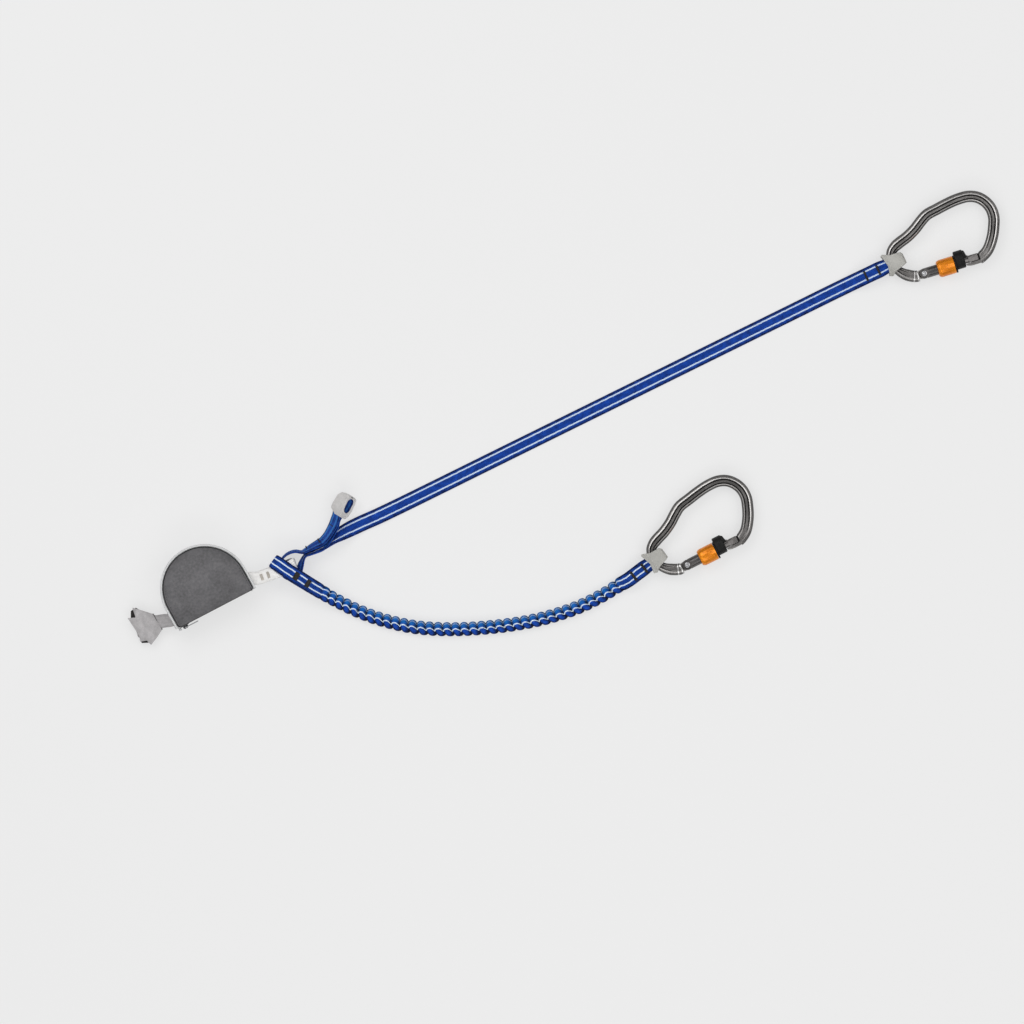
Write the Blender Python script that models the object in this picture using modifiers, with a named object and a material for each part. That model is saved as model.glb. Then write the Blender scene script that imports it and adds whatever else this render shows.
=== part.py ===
import math

import bmesh
import bpy
import numpy as np
from mathutils import Matrix, Vector

# Via ferrata lanyard laid flat, seen from straight above. Metres, +Z up, origin on the
# surface it lies on, under the middle of its outline. +X runs from the harness end to the
# carabiners. Places in the plane are read off the picture and turned into metres here.
PICTURE_PIXEL = 0.00095
PICTURE_MIDDLE = (563.4, 417.0)
FIT_GAP = 0.0003

# Webbing
WEBBING_WIDTH = 0.0152
WEBBING_THICKNESS = 0.0017
PATH_STEP = 0.0048
ROUTE_NEARNESS = 0.000475
TACK_NEARNESS = 0.001425

# Carabiners
CARABINER_LENGTH = 0.117
CARABINER_HEIGHT = 0.0091
ROD_WIDTH = 0.0110
ROD_HEIGHT = 0.0094
ROD_WAIST = 0.0087
GROOVE_DEPTH = 0.0014
GATE_RADIUS = 0.0050
GATE_LENGTH_SHARE = 0.465
GATE_LENGTH = GATE_LENGTH_SHARE * CARABINER_LENGTH
HINGE_GAP = 0.0004
TONGUE_RADIUS = 0.0046
TONGUE_THICKNESS = 0.0038
RIVET_RADIUS = 0.0016
RIVET_HEAD_RADIUS = 0.0026
RIVET_HEAD_THICKNESS = 0.0006
NOSE_LIP_THICKNESS = 0.0031
NOSE_LIP_WIDTH = 0.0068
NOSE_KEY_THICKNESS = 0.0026
SLEEVE_WIRE = 0.0009
SLEEVE_WALL = 0.0015
SLEEVE_BORE = GATE_RADIUS + FIT_GAP
SLEEVE_RADIUS = SLEEVE_BORE + SLEEVE_WIRE + 2.5 * FIT_GAP + SLEEVE_WALL
SLEEVE_START_SHARE = 0.241
SLEEVE_LENGTH_SHARE = 0.3035
SLEEVE_START = SLEEVE_START_SHARE * GATE_LENGTH
SLEEVE_LENGTH = SLEEVE_LENGTH_SHARE * GATE_LENGTH
SLEEVE_END = SLEEVE_START + SLEEVE_LENGTH
SLEEVE_CHAMFER = 0.0034
FLANGE_THICKNESS = 0.0016
CAM_WALL = 0.0006
CAM_OFFSET = 0.0029
CAM_RADIUS = SLEEVE_BORE + CAM_WALL + CAM_OFFSET
CAM_LENGTH_SHARE = 0.16
CATCH_LENGTH_SHARE = 0.048
CAM_LENGTH = CAM_LENGTH_SHARE * GATE_LENGTH
CATCH_LENGTH = CATCH_LENGTH_SHARE * GATE_LENGTH
CATCH_HALF_WIDTH = 0.0038
SLEEVE_SPRING_TURNS = 4
GATE_WIRE = 0.0006
GATE_SPRING_TURNS = 4
GATE_BORE_RADIUS = 0.0019
GATE_BORE_END = 0.0125
PLUNGER_RADIUS = 0.0015
PLUNGER_LENGTH = 0.0026

# Rubber protectors
PROTECTOR_LENGTH = 0.0192
PROTECTOR_HALF_HEIGHT = 0.0090
EYE_BORE_RADIUS = 0.00625
EYE_WEBBING_WIDTH = 0.0122
ROD_SEAT = 0.0006
EYE_SEWN_LENGTH = 0.0190
EYE_SEWN_START = 0.0135

# Absorber pouch
POUCH_WIDTH = 0.0805
POUCH_SIDE = 0.0209
POUCH_DEPTH = 0.0310
PANEL_THICKNESS = 0.0020
PANEL_DOME = 0.0034
GUSSET_PROUD = 0.0024
GUSSET_WALL = 0.0013
GUSSET_TURN_IN = 0.0030
PIPING_RADIUS = 0.0010
STRAP_ENTRY = 0.0100
ZIP_TOOTH = 0.0013
ZIP_TOOTH_COUNT = 30
ZIP_BAR = 0.0011
ZIP_DEPTH = 0.0016
ZIP_PARTING = 0.0014
ZIP_MARGIN = 0.0035
TAPE_THICKNESS = 0.0008
SLIDER_LENGTH = 0.0080
SLIDER_PLATE = 0.0012
SLIDER_POST = 0.0008
BAIL_HEIGHT = 0.0026
BAIL_LENGTH = 0.0050
BAIL_THICKNESS = 0.0018
PULL_LENGTH = 0.0132
PULL_WIDTH = 0.0050
PULL_THICKNESS = 0.0009
PULL_PIN_RADIUS = 0.0006
TAB_PROUD = 0.0036
TAB_SEAT = 0.0010
TAB_HALF_HEIGHT = 0.0066
TAB_ROUND = 0.0004
TEAR_WIDTH = 0.0212
TEAR_PITCH = 0.0055
TEAR_RUNS = 6

# Harness hitch
HITCH_BORE_HEIGHT = 0.0070
HITCH_STRAP_WIDTH = 0.0130

# Elastic arm
PUCKER_PITCH = 0.0083
PUCKER_WIDTH = 0.0136
PUCKER_HEIGHT = 0.0082
PUCKER_DEPTH = 0.0022
PUCKER_BORE_WIDTH = 0.0070
PUCKER_BORE_HEIGHT = 0.0032
PUCKER_BLEND = 0.0090
BAR_TACK_LENGTH = 0.0100
BAR_TACK_WIDTH = 0.0017
BAR_TACK_THICKNESS = 0.0005

LAYER = WEBBING_THICKNESS + FIT_GAP
FLOOR = WEBBING_THICKNESS / 2 + FIT_GAP / 2
CUT_OVERRUN = 0.004
WELD_DISTANCE = 0.000001

# Heights of the webbing layers at the junction, from the bottom up
LOOP_LOW = WEBBING_THICKNESS / 2 + FIT_GAP
EYE_MIDDLE = LOOP_LOW + WEBBING_THICKNESS / 2 + FIT_GAP + WEBBING_WIDTH / 2
ELASTIC_UNDER = EYE_MIDDLE + WEBBING_WIDTH / 2 + FIT_GAP + WEBBING_THICKNESS / 2
LOOP_HIGH = ELASTIC_UNDER + LAYER
ELASTIC_OVER = LOOP_HIGH + LAYER

for leftover in list(bpy.data.objects):
    bpy.data.objects.remove(leftover, do_unlink=True)

lanyard = bpy.data.collections.new("via_ferrata_lanyard")
cutters = bpy.data.collections.new("cutters")
bpy.context.scene.collection.children.link(lanyard)
bpy.context.scene.collection.children.link(cutters)


def material(name, colour, roughness, metallic=0.0):
    made = bpy.data.materials.new(name)
    made.use_nodes = True
    shader = made.node_tree.nodes["Principled BSDF"]
    shader.inputs["Base Color"].default_value = (*colour, 1.0)
    shader.inputs["Roughness"].default_value = roughness
    shader.inputs["Metallic"].default_value = metallic
    return made


BLUE = material("blue_webbing", (0.010, 0.045, 0.30), 0.8)
RUBBER = material("light_grey_rubber", (0.54, 0.52, 0.50), 0.6)
ALUMINIUM = material("grey_anodised_aluminium", (0.19, 0.17, 0.165), 0.35, 1.0)
STEEL = material("bright_steel", (0.55, 0.55, 0.55), 0.3, 1.0)
ORANGE = material("orange_anodised_sleeve", (0.87, 0.22, 0.005), 0.4)
BLACK = material("black_plastic", (0.010, 0.010, 0.012), 0.5)
POUCH_GREY = material("dark_grey_fabric", (0.09, 0.09, 0.095), 0.9)
BAND_GREY = material("pale_grey_fabric", (0.66, 0.67, 0.68), 0.9)
STRAP_GREY = material("grey_webbing", (0.39, 0.38, 0.38), 0.85)
WHITE = material("white_webbing", (0.83, 0.80, 0.78), 0.85)
THREAD = material("black_thread", (0.012, 0.012, 0.012), 0.8)
ELASTIC_RUBBER = material("natural_rubber", (0.35, 0.28, 0.20), 0.7)


def spot(x, y, height=0.0):
    """A pixel of the picture and a height, as a point of the part."""
    return np.array(
        (
            (x - PICTURE_MIDDLE[0]) * PICTURE_PIXEL,
            (PICTURE_MIDDLE[1] - y) * PICTURE_PIXEL,
            height,
        )
    )


def place(x, y, height, heading):
    """A frame at a pixel of the picture, its X axis turned to a heading in degrees."""
    return Matrix.Translation(spot(x, y, height)) @ Matrix.Rotation(math.radians(heading), 4, "Z")


def tidy(mesh):
    """Weld a mesh and turn its faces outwards."""
    work = bmesh.new()
    work.from_mesh(mesh)
    bmesh.ops.remove_doubles(work, verts=work.verts, dist=WELD_DISTANCE)
    bmesh.ops.recalc_face_normals(work, faces=work.faces)
    work.to_mesh(mesh)
    work.free()
    return mesh


def evaluated_mesh(thing):
    """The mesh that an object shows, with the object removed."""
    bpy.context.scene.collection.objects.link(thing)
    bpy.context.view_layer.update()
    seen = thing.evaluated_get(bpy.context.evaluated_depsgraph_get())
    mesh = bpy.data.meshes.new_from_object(seen)
    bpy.data.objects.remove(thing, do_unlink=True)
    return tidy(mesh)


def add(name, mesh, finish, where=None, parent=None):
    """A named piece of the lanyard at its place, under its parent."""
    thing = bpy.data.objects.new(name, mesh)
    mesh.materials.clear()
    mesh.materials.append(finish)
    lanyard.objects.link(thing)
    if parent is not None:
        thing.parent = parent
        thing.matrix_parent_inverse = pivots[parent.name].inverted()
    thing.matrix_basis = where or Matrix.Identity(4)
    mesh.shade_smooth()
    mesh.set_sharp_from_angle(angle=math.radians(35))
    return thing


pivots = {}


def pivot(name, where):
    """An empty on a joint's axis."""
    empty = bpy.data.objects.new(name, None)
    empty.matrix_world = where
    lanyard.objects.link(empty)
    pivots[name] = where.copy()
    return empty


def shape(thing, mesh, operation="DIFFERENCE"):
    """Cut a piece by a mesh, or join the mesh to it, in the piece's own frame."""
    count = len(thing.modifiers)
    tool = bpy.data.objects.new(f"{thing.name}_tool_{count}", mesh)
    cutters.objects.link(tool)
    tool.matrix_world = thing.matrix_basis
    tool.hide_render = True
    tool.display_type = "WIRE"
    boolean = thing.modifiers.new(f"shape_{count}", "BOOLEAN")
    boolean.object = tool
    boolean.operation = operation
    boolean.solver = "EXACT"
    return thing


def extruded(outline, half_depth, turn=None):
    """A flat outline with a thickness both ways along its normal."""
    curve = bpy.data.curves.new("outline", "CURVE")
    curve.dimensions = "2D"
    curve.fill_mode = "BOTH"
    curve.extrude = half_depth
    spline = curve.splines.new("POLY")
    spline.points.add(len(outline) - 1)
    for point, (x, y) in zip(spline.points, outline):
        point.co = (x, y, 0.0, 1.0)
    spline.use_cyclic_u = True
    mesh = evaluated_mesh(bpy.data.objects.new("outline", curve))
    if turn is not None:
        mesh.transform(turn)
    return tidy(mesh)


def wire(points, radius, rounds=1):
    """A round wire along points."""
    curve = bpy.data.curves.new("wire", "CURVE")
    curve.dimensions = "3D"
    curve.bevel_depth = radius
    curve.bevel_resolution = rounds
    curve.use_fill_caps = True
    spline = curve.splines.new("POLY")
    spline.points.add(len(points) - 1)
    for point, place_of in zip(spline.points, points):
        point.co = (*place_of, 1.0)
    return evaluated_mesh(bpy.data.objects.new("wire", curve))


def turned(profile, sides=24, closed=False, turn=None):
    """A profile of (radius, height) turned round the Z axis."""
    mesh = bpy.data.meshes.new("profile")
    points = [(radius, 0.0, height) for radius, height in profile]
    edges = [(i, i + 1) for i in range(len(points) - 1)]
    if closed:
        edges.append((len(points) - 1, 0))
    mesh.from_pydata(points, edges, [])
    thing = bpy.data.objects.new("profile", mesh)
    screw = thing.modifiers.new("turn", "SCREW")
    screw.axis = "Z"
    screw.steps = sides
    screw.render_steps = sides
    screw.use_merge_vertices = True
    screw.merge_threshold = WELD_DISTANCE
    done = evaluated_mesh(thing)
    if turn is not None:
        done.transform(turn)
    return tidy(done)


def cylinder(radius, low, high, sides=24, turn=None):
    """A round bar on the Z axis between two heights."""
    work = bmesh.new()
    spin = Matrix.Rotation(math.pi / sides, 4, "Z")
    middle = Matrix.Translation((0.0, 0.0, (low + high) / 2))
    bmesh.ops.create_cone(
        work,
        cap_ends=True,
        segments=sides,
        radius1=radius,
        radius2=radius,
        depth=high - low,
        matrix=middle @ spin,
    )
    mesh = bpy.data.meshes.new("bar")
    work.to_mesh(mesh)
    work.free()
    if turn is not None:
        mesh.transform(turn)
    return mesh


def box(low, high):
    """A box between two corners."""
    work = bmesh.new()
    bmesh.ops.create_cube(work, size=1.0)
    size = [b - a for a, b in zip(low, high)]
    middle = [(a + b) / 2 for a, b in zip(low, high)]
    bmesh.ops.scale(work, vec=size, verts=work.verts)
    bmesh.ops.translate(work, vec=middle, verts=work.verts)
    mesh = bpy.data.meshes.new("box")
    work.to_mesh(mesh)
    work.free()
    return mesh


def bevelled(mesh, width, segments=1):
    """A mesh with its sharp edges rounded."""
    thing = bpy.data.objects.new("edges", mesh)
    bevel = thing.modifiers.new("round", "BEVEL")
    bevel.width = width
    bevel.segments = segments
    bevel.limit_method = "ANGLE"
    bevel.angle_limit = math.radians(40)
    return evaluated_mesh(thing)


def arc(middle, radius, start, end, count):
    """Points on an arc, from one angle in degrees to another."""
    angles = np.radians(np.linspace(start, end, count))
    return [(middle[0] + radius * math.cos(a), middle[1] + radius * math.sin(a)) for a in angles]


def smooth(stations, step):
    """A smooth curve through stations, whose first three columns are a point, in even steps."""
    stations = np.array(stations, float)
    lengths = np.sqrt(np.linalg.norm(np.diff(stations[:, :3], axis=0), axis=1))
    knots = np.concatenate([[0], np.cumsum(lengths)])
    first = 2 * stations[0] - stations[1]
    last = 2 * stations[-1] - stations[-2]
    points = np.vstack([first, stations, last])
    knots = np.concatenate([[-lengths[0]], knots, [knots[-1] + lengths[-1]]])
    fine = []
    for i in range(1, len(points) - 2):
        p0, p1, p2, p3 = points[i - 1 : i + 3]
        t0, t1, t2, t3 = knots[i - 1 : i + 3]
        for t in np.linspace(t1, t2, 24, endpoint=False):
            a1 = (t1 - t) / (t1 - t0) * p0 + (t - t0) / (t1 - t0) * p1
            a2 = (t2 - t) / (t2 - t1) * p1 + (t - t1) / (t2 - t1) * p2
            a3 = (t3 - t) / (t3 - t2) * p2 + (t - t2) / (t3 - t2) * p3
            b1 = (t2 - t) / (t2 - t0) * a1 + (t - t0) / (t2 - t0) * a2
            b2 = (t3 - t) / (t3 - t1) * a2 + (t - t1) / (t3 - t1) * a3
            fine.append((t2 - t) / (t2 - t1) * b1 + (t - t1) / (t2 - t1) * b2)
    fine.append(points[-2])
    fine = np.array(fine)
    runs = np.concatenate([[0], np.cumsum(np.linalg.norm(np.diff(fine[:, :3], axis=0), axis=1))])
    count = max(2, int(round(runs[-1] / step)) + 1)
    wanted = np.linspace(0, runs[-1], count)
    return np.column_stack([np.interp(wanted, runs, fine[:, k]) for k in range(fine.shape[1])])


def directions(points):
    """Unit tangents of a line of points."""
    steps = np.gradient(points, axis=0)
    return steps / np.linalg.norm(steps, axis=1)[:, None]


def loft(rings):
    """A closed body through rings of points, with a flat face at each end."""
    rings = np.array(rings)
    count, around = rings.shape[:2]
    work = bmesh.new()
    verts = [[work.verts.new(p) for p in ring] for ring in rings]
    for lower, upper in zip(verts, verts[1:]):
        for k in range(around):
            n = (k + 1) % around
            work.faces.new((lower[k], lower[n], upper[n], upper[k]))
    work.faces.new(list(reversed(verts[0])))
    work.faces.new(verts[-1])
    mesh = bpy.data.meshes.new("loft")
    work.to_mesh(mesh)
    work.free()
    return tidy(mesh)


def frames(line):
    """Points, width directions and face directions of a band, from rows of point and width."""
    points = line[:, :3]
    forward = directions(points)
    across = line[:, 3:6]
    across = across - forward * np.sum(across * forward, axis=1)[:, None]
    across /= np.linalg.norm(across, axis=1)[:, None]
    return points, across, np.cross(forward, across)


def band(line, thickness=WEBBING_THICKNESS):
    """Flat webbing along rows of point, width direction and width."""
    points, across, face = frames(line)
    half = line[:, 6:7] / 2
    side, lift = across * half, face * thickness / 2
    rings = np.stack([points - side - lift, points + side - lift, points + side + lift, points - side + lift], 1)
    return loft(rings)


def webbing(name, stations, finish, step=PATH_STEP, thickness=WEBBING_THICKNESS, lowest=None):
    """A webbing piece along stations of (point, width direction, width)."""
    rows = [(*point, *across, width) for point, across, width in stations]
    line = smooth(rows, step)
    if lowest is not None:
        line[:, 2] = np.maximum(line[:, 2], lowest)
    return add(name, band(line, thickness), finish), line


def heading_of(degrees):
    """The unit vector of a heading in the plane."""
    return np.array((math.cos(math.radians(degrees)), math.sin(math.radians(degrees)), 0.0))


UP = np.array((0.0, 0.0, 1.0))


def least_gap(line, apart):
    """The least distance between stretches of a line that are at least so far apart along it."""
    points = line[:, :3]
    runs = np.concatenate([[0], np.cumsum(np.linalg.norm(np.diff(points, axis=0), axis=1))])
    away = np.linalg.norm(points[:, None] - points[None], axis=2)
    return float(away[np.abs(runs[:, None] - runs[None]) > apart].min())


# Carabiners. The outline is in the gate's frame: X from the hinge rivet to the nose, Y into
# the opening. Its points are shares of the carabiner's length.
SPINE_SHARES = [
    (-0.066, -0.003),
    (-0.106, 0.012),
    (-0.155, 0.043),
    (-0.194, 0.084),
    (-0.211, 0.118),
    (-0.219, 0.162),
    (-0.222, 0.204),
    (-0.207, 0.243),
    (-0.172, 0.274),
    (-0.118, 0.299),
    (-0.050, 0.324),
    (0.028, 0.365),
    (0.100, 0.416),
    (0.158, 0.450),
    (0.252, 0.470),
    (0.341, 0.487),
    (0.430, 0.498),
    (0.524, 0.494),
    (0.593, 0.465),
    (0.642, 0.414),
    (0.670, 0.350),
    (0.673, 0.276),
    (0.649, 0.197),
    (0.607, 0.110),
    (0.547, 0.032),
    (0.490, -0.004),
    (0.460, -0.014),
]
EYE_SHARES = (-0.2165, 0.155)
# The rod's grooved section, as shares of its half width and half height
ROD_SECTION_SHARES = [
    (1.0, 0.40),
    (0.80, 0.86),
    (0.46, 1.0),
    (0.30, 0.0),
    (-0.30, 0.0),
    (-0.46, 1.0),
    (-0.80, 0.86),
    (-1.0, 0.40),
]


def rod_rings():
    """Rings of the grooved rod along the carabiner's spine."""
    spine = [(x * CARABINER_LENGTH, y * CARABINER_LENGTH, 0.0) for x, y in SPINE_SHARES]
    start = -(GATE_RADIUS + HINGE_GAP)
    spine.insert(0, (start, spine[0][1], 0.0))
    line = smooth(spine, CARABINER_LENGTH / 24)
    forward = directions(line)
    forward[0] = (-1.0, 0.0, 0.0)
    eye = np.array((*EYE_SHARES, 0.0)) * CARABINER_LENGTH
    rings = []
    for i, (point, ahead) in enumerate(zip(line, forward)):
        side = np.cross(UP, ahead)
        near_eye = max(0.0, 1 - np.linalg.norm(point - eye) / (2.5 * ROD_WIDTH))
        half_width = (ROD_WIDTH + (ROD_WAIST - ROD_WIDTH) * min(1.0, 2 * near_eye)) / 2
        groove = min(1.0, i / 5, (len(line) - 1 - i) / 5)
        ring = []
        for sign in (1, -1):
            for x, z in ROD_SECTION_SHARES[::sign]:
                rise = z if z > 0 else 1 - groove * GROOVE_DEPTH / (ROD_HEIGHT / 2)
                ring.append(point + side * x * half_width + UP * sign * rise * ROD_HEIGHT / 2)
        rings.append(ring)
    return rings


TIP_RADIUS = GATE_LENGTH
LIP_TOP = -0.0029
LIP_START = 0.748 * GATE_LENGTH
KEY_START = 0.845 * GATE_LENGTH
KEY_TOP = LIP_TOP + 1.3 * NOSE_LIP_THICKNESS


def carabiner_frame(name, where, parent):
    thing = add(name, loft(rod_rings()), ALUMINIUM, where, parent)
    clear = TIP_RADIUS + HINGE_GAP + FIT_GAP / 2
    inner = 0.75 * GATE_LENGTH
    low_angle = math.degrees(math.asin(LIP_TOP / clear))
    mouth = [(inner, LIP_TOP)] + arc((0.0, 0.0), clear, low_angle, low_angle + 17, 7)
    mouth.append((inner, clear * math.sin(math.radians(low_angle + 17))))
    shape(thing, extruded(mouth, ROD_HEIGHT))
    lip_end = LIP_START
    lip_root = 1.055 * GATE_LENGTH
    low = LIP_TOP - NOSE_LIP_THICKNESS
    lip = [
        (lip_end, LIP_TOP - 0.2 * NOSE_LIP_THICKNESS),
        (lip_end + 0.4 * NOSE_LIP_THICKNESS, LIP_TOP),
        (lip_root, LIP_TOP),
        (lip_root, low),
        (lip_end + 2 * NOSE_LIP_THICKNESS, low),
        (lip_end + 0.4 * NOSE_LIP_THICKNESS, LIP_TOP - 0.7 * NOSE_LIP_THICKNESS),
    ]
    shape(thing, extruded(lip, NOSE_LIP_WIDTH / 2), "UNION")
    key = [
        (KEY_START, LIP_TOP - 0.3 * NOSE_LIP_THICKNESS),
        (KEY_START, KEY_TOP - 0.3 * NOSE_LIP_THICKNESS),
        (KEY_START + 0.3 * NOSE_LIP_THICKNESS, KEY_TOP),
        (lip_root, KEY_TOP),
        (lip_root, LIP_TOP - 0.3 * NOSE_LIP_THICKNESS),
    ]
    shape(thing, extruded(key, NOSE_KEY_THICKNESS / 2), "UNION")
    back = -(GATE_RADIUS + HINGE_GAP + TONGUE_RADIUS)
    tongue = arc((0.0, 0.0), TONGUE_RADIUS, 90, -90, 9)
    tongue += [(back, -0.8 * TONGUE_RADIUS), (back, 0.8 * TONGUE_RADIUS)]
    shape(thing, extruded(tongue, TONGUE_THICKNESS / 2), "UNION")
    shape(thing, cylinder(RIVET_RADIUS + FIT_GAP, -ROD_HEIGHT, ROD_HEIGHT, 16))
    return thing


ALONG_GATE = Matrix.Rotation(math.radians(90), 4, "Y")


def carabiner_gate(name, where, parent):
    block_start = 0.79 * GATE_LENGTH
    block_half = 0.86 * GATE_RADIUS
    bar = cylinder(GATE_RADIUS, 0.0, block_start + 0.02 * GATE_LENGTH, 20, ALONG_GATE)
    thing = add(name, bar, ALUMINIUM, where, parent)
    drum_half = 0.94 * GATE_RADIUS
    shape(thing, cylinder(0.98 * GATE_RADIUS, -drum_half, drum_half, 24), "UNION")
    block_low = LIP_TOP + FIT_GAP
    block_top = 0.82 * GATE_RADIUS
    top_angle = math.degrees(math.asin(block_top / TIP_RADIUS))
    low_angle = math.degrees(math.asin(block_low / TIP_RADIUS))
    block = [(block_start, block_low)]
    block += arc((0.0, 0.0), TIP_RADIUS, low_angle, top_angle, 4)
    block.append((block_start, block_top))
    shape(thing, extruded(block, block_half), "UNION")
    under = (LIP_START - 2 * FIT_GAP, -2 * GATE_RADIUS, -2 * GATE_RADIUS)
    shape(thing, box(under, (2 * GATE_LENGTH, block_low, 2 * GATE_RADIUS)))
    slot_half = TONGUE_THICKNESS / 2 + FIT_GAP
    slot_radius = TONGUE_RADIUS + 2 * FIT_GAP
    slot = arc((0.0, 0.0), slot_radius, 90, -90, 9)
    slot += [(-2 * GATE_RADIUS, -2 * GATE_RADIUS), (-2 * GATE_RADIUS, 2 * GATE_RADIUS)]
    slot.insert(9, (0.0, -2 * GATE_RADIUS))
    slot.insert(0, (0.0, 2 * GATE_RADIUS))
    shape(thing, extruded(slot, slot_half))
    shape(thing, cylinder(GATE_BORE_RADIUS, slot_radius / 2, GATE_BORE_END, 12, ALONG_GATE))
    key_half = NOSE_KEY_THICKNESS / 2 + FIT_GAP
    key_low = (KEY_START - 2 * FIT_GAP, LIP_TOP - CUT_OVERRUN, -key_half)
    key_high = (GATE_LENGTH + CUT_OVERRUN, KEY_TOP + FIT_GAP, key_half)
    shape(thing, box(key_low, key_high))
    shape(thing, cylinder(RIVET_RADIUS + FIT_GAP, -ROD_HEIGHT, ROD_HEIGHT, 16))
    return thing


def gate_rivet(name, where, parent):
    seat = 0.94 * GATE_RADIUS + FIT_GAP
    top = seat + RIVET_HEAD_THICKNESS
    profile = [
        (0.0, top),
        (0.6 * RIVET_HEAD_RADIUS, top),
        (RIVET_HEAD_RADIUS, seat),
        (RIVET_RADIUS, seat),
        (RIVET_RADIUS, -seat),
        (RIVET_HEAD_RADIUS, -seat),
        (0.6 * RIVET_HEAD_RADIUS, -top),
        (0.0, -top),
    ]
    return add(name, turned(profile, 16), STEEL, where, parent)


def gate_plunger(name, where, parent):
    tip = TONGUE_RADIUS + FIT_GAP
    profile = [
        (0.0, tip),
        (0.6 * PLUNGER_RADIUS, tip),
        (PLUNGER_RADIUS, tip + 0.4 * PLUNGER_RADIUS),
        (PLUNGER_RADIUS, tip + PLUNGER_LENGTH),
        (0.0, tip + PLUNGER_LENGTH),
    ]
    return add(name, turned(profile, 12, turn=ALONG_GATE), STEEL, where, parent)


def helix(radius, start, end, turns, points_a_turn):
    """Points of a spring round the X axis."""
    count = turns * points_a_turn + 1
    angles = np.linspace(0, 2 * math.pi * turns, count)
    return np.column_stack(
        (np.linspace(start, end, count), radius * np.cos(angles), radius * np.sin(angles))
    )


def gate_spring(name, where, parent):
    start = TONGUE_RADIUS + 2 * FIT_GAP + PLUNGER_LENGTH + GATE_WIRE / 2
    end = GATE_BORE_END - FIT_GAP - GATE_WIRE / 2
    mean = GATE_BORE_RADIUS - FIT_GAP - GATE_WIRE / 2
    line = helix(mean, start, end, GATE_SPRING_TURNS, 8)
    print(name, "least gap between turns", least_gap(line, 4 * mean) - GATE_WIRE)
    return add(name, wire(line, GATE_WIRE / 2, 0), STEEL, where, parent)


def locking_sleeve(name, where, parent):
    cavity = SLEEVE_RADIUS - SLEEVE_WALL
    profile = [
        (SLEEVE_BORE, SLEEVE_START),
        (SLEEVE_BORE + 2 * SLEEVE_WALL / 3, SLEEVE_START),
        (0.93 * SLEEVE_RADIUS, SLEEVE_START + 0.5 * SLEEVE_CHAMFER),
        (SLEEVE_RADIUS, SLEEVE_START + SLEEVE_CHAMFER),
        (SLEEVE_RADIUS, SLEEVE_END),
        (SLEEVE_BORE, SLEEVE_END),
        (SLEEVE_BORE, SLEEVE_END - SLEEVE_WALL),
        (cavity, SLEEVE_END - SLEEVE_WALL),
        (cavity, SLEEVE_START + SLEEVE_CHAMFER),
        (SLEEVE_BORE, SLEEVE_START + SLEEVE_WALL),
    ]
    return add(name, turned(profile, 24, True, ALONG_GATE), ORANGE, where, parent)


def sleeve_spring(name, where, parent):
    mean = SLEEVE_BORE + SLEEVE_WIRE / 2 + FIT_GAP / 2
    start = SLEEVE_START + SLEEVE_CHAMFER + SLEEVE_WIRE
    end = SLEEVE_END - SLEEVE_WALL - FIT_GAP - SLEEVE_WIRE / 2
    line = helix(mean, start, end, SLEEVE_SPRING_TURNS, 10)
    print(name, "least gap between turns", least_gap(line, 4 * mean) - SLEEVE_WIRE)
    return add(name, wire(line, SLEEVE_WIRE / 2, 1), STEEL, where, parent)


def catch_collar(name, where, parent):
    start = SLEEVE_END + FIT_GAP
    cam_start = start + FLANGE_THICKNESS
    cam_end = cam_start + CAM_LENGTH
    flange = cylinder(SLEEVE_RADIUS, start, cam_start, 24, ALONG_GATE)
    thing = add(name, flange, BLACK, where, parent)
    cam = cylinder(CAM_RADIUS, cam_start - FIT_GAP, cam_end, 28, ALONG_GATE)
    cam.transform(Matrix.Translation((0.0, CAM_OFFSET, 0.0)))
    shape(thing, bevelled(cam, 0.08 * CAM_RADIUS), "UNION")
    catch_top = CAM_OFFSET + 0.86 * CAM_RADIUS
    catch = [
        (cam_end - CATCH_LENGTH, 0.9 * CATCH_HALF_WIDTH),
        (cam_end + 0.9 * CATCH_LENGTH, 0.9 * CATCH_HALF_WIDTH),
        (cam_end + CATCH_LENGTH, 1.3 * CATCH_HALF_WIDTH),
        (cam_end + 0.6 * CATCH_LENGTH, catch_top - 0.2 * CATCH_HALF_WIDTH),
        (cam_end + 0.2 * CATCH_LENGTH, catch_top),
        (cam_end - CATCH_LENGTH, catch_top),
    ]
    shape(thing, extruded(catch, CATCH_HALF_WIDTH), "UNION")
    bore = cylinder(SLEEVE_BORE, start - CUT_OVERRUN, cam_end + CUT_OVERRUN, 24, ALONG_GATE)
    shape(thing, bore)
    return thing


def carabiner(side, eye, arm_heading, gate_heading):
    """All the pieces of one carabiner, hung on the pivot in its webbing eye."""
    hinge = pivot(f"{side}_carabiner_pivot", place(*eye, CARABINER_HEIGHT, arm_heading))
    turn = Matrix.Rotation(math.radians(gate_heading), 4, "Z")
    offset = turn @ Vector((*EYE_SHARES, 0.0)) * CARABINER_LENGTH
    rod = spot(*eye, CARABINER_HEIGHT) - heading_of(arm_heading) * ROD_SEAT
    where = Matrix.Translation(Vector(rod) - offset) @ turn
    carabiner_frame(f"{side}_carabiner_frame", where, hinge)
    gate_rivet(f"{side}_gate_rivet", where, hinge)
    gate_hinge = pivot(f"{side}_gate_pivot", where)
    carabiner_gate(f"{side}_gate", where, gate_hinge)
    gate_plunger(f"{side}_gate_plunger", where, gate_hinge)
    gate_spring(f"{side}_gate_spring", where, gate_hinge)
    sleeve_spring(f"{side}_sleeve_spring", where, gate_hinge)
    locking_sleeve(f"{side}_locking_sleeve", where, gate_hinge)
    catch_collar(f"{side}_catch_collar", where, gate_hinge)
    print(side, "rivet at", tuple(round(v, 5) for v in where.translation))


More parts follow.
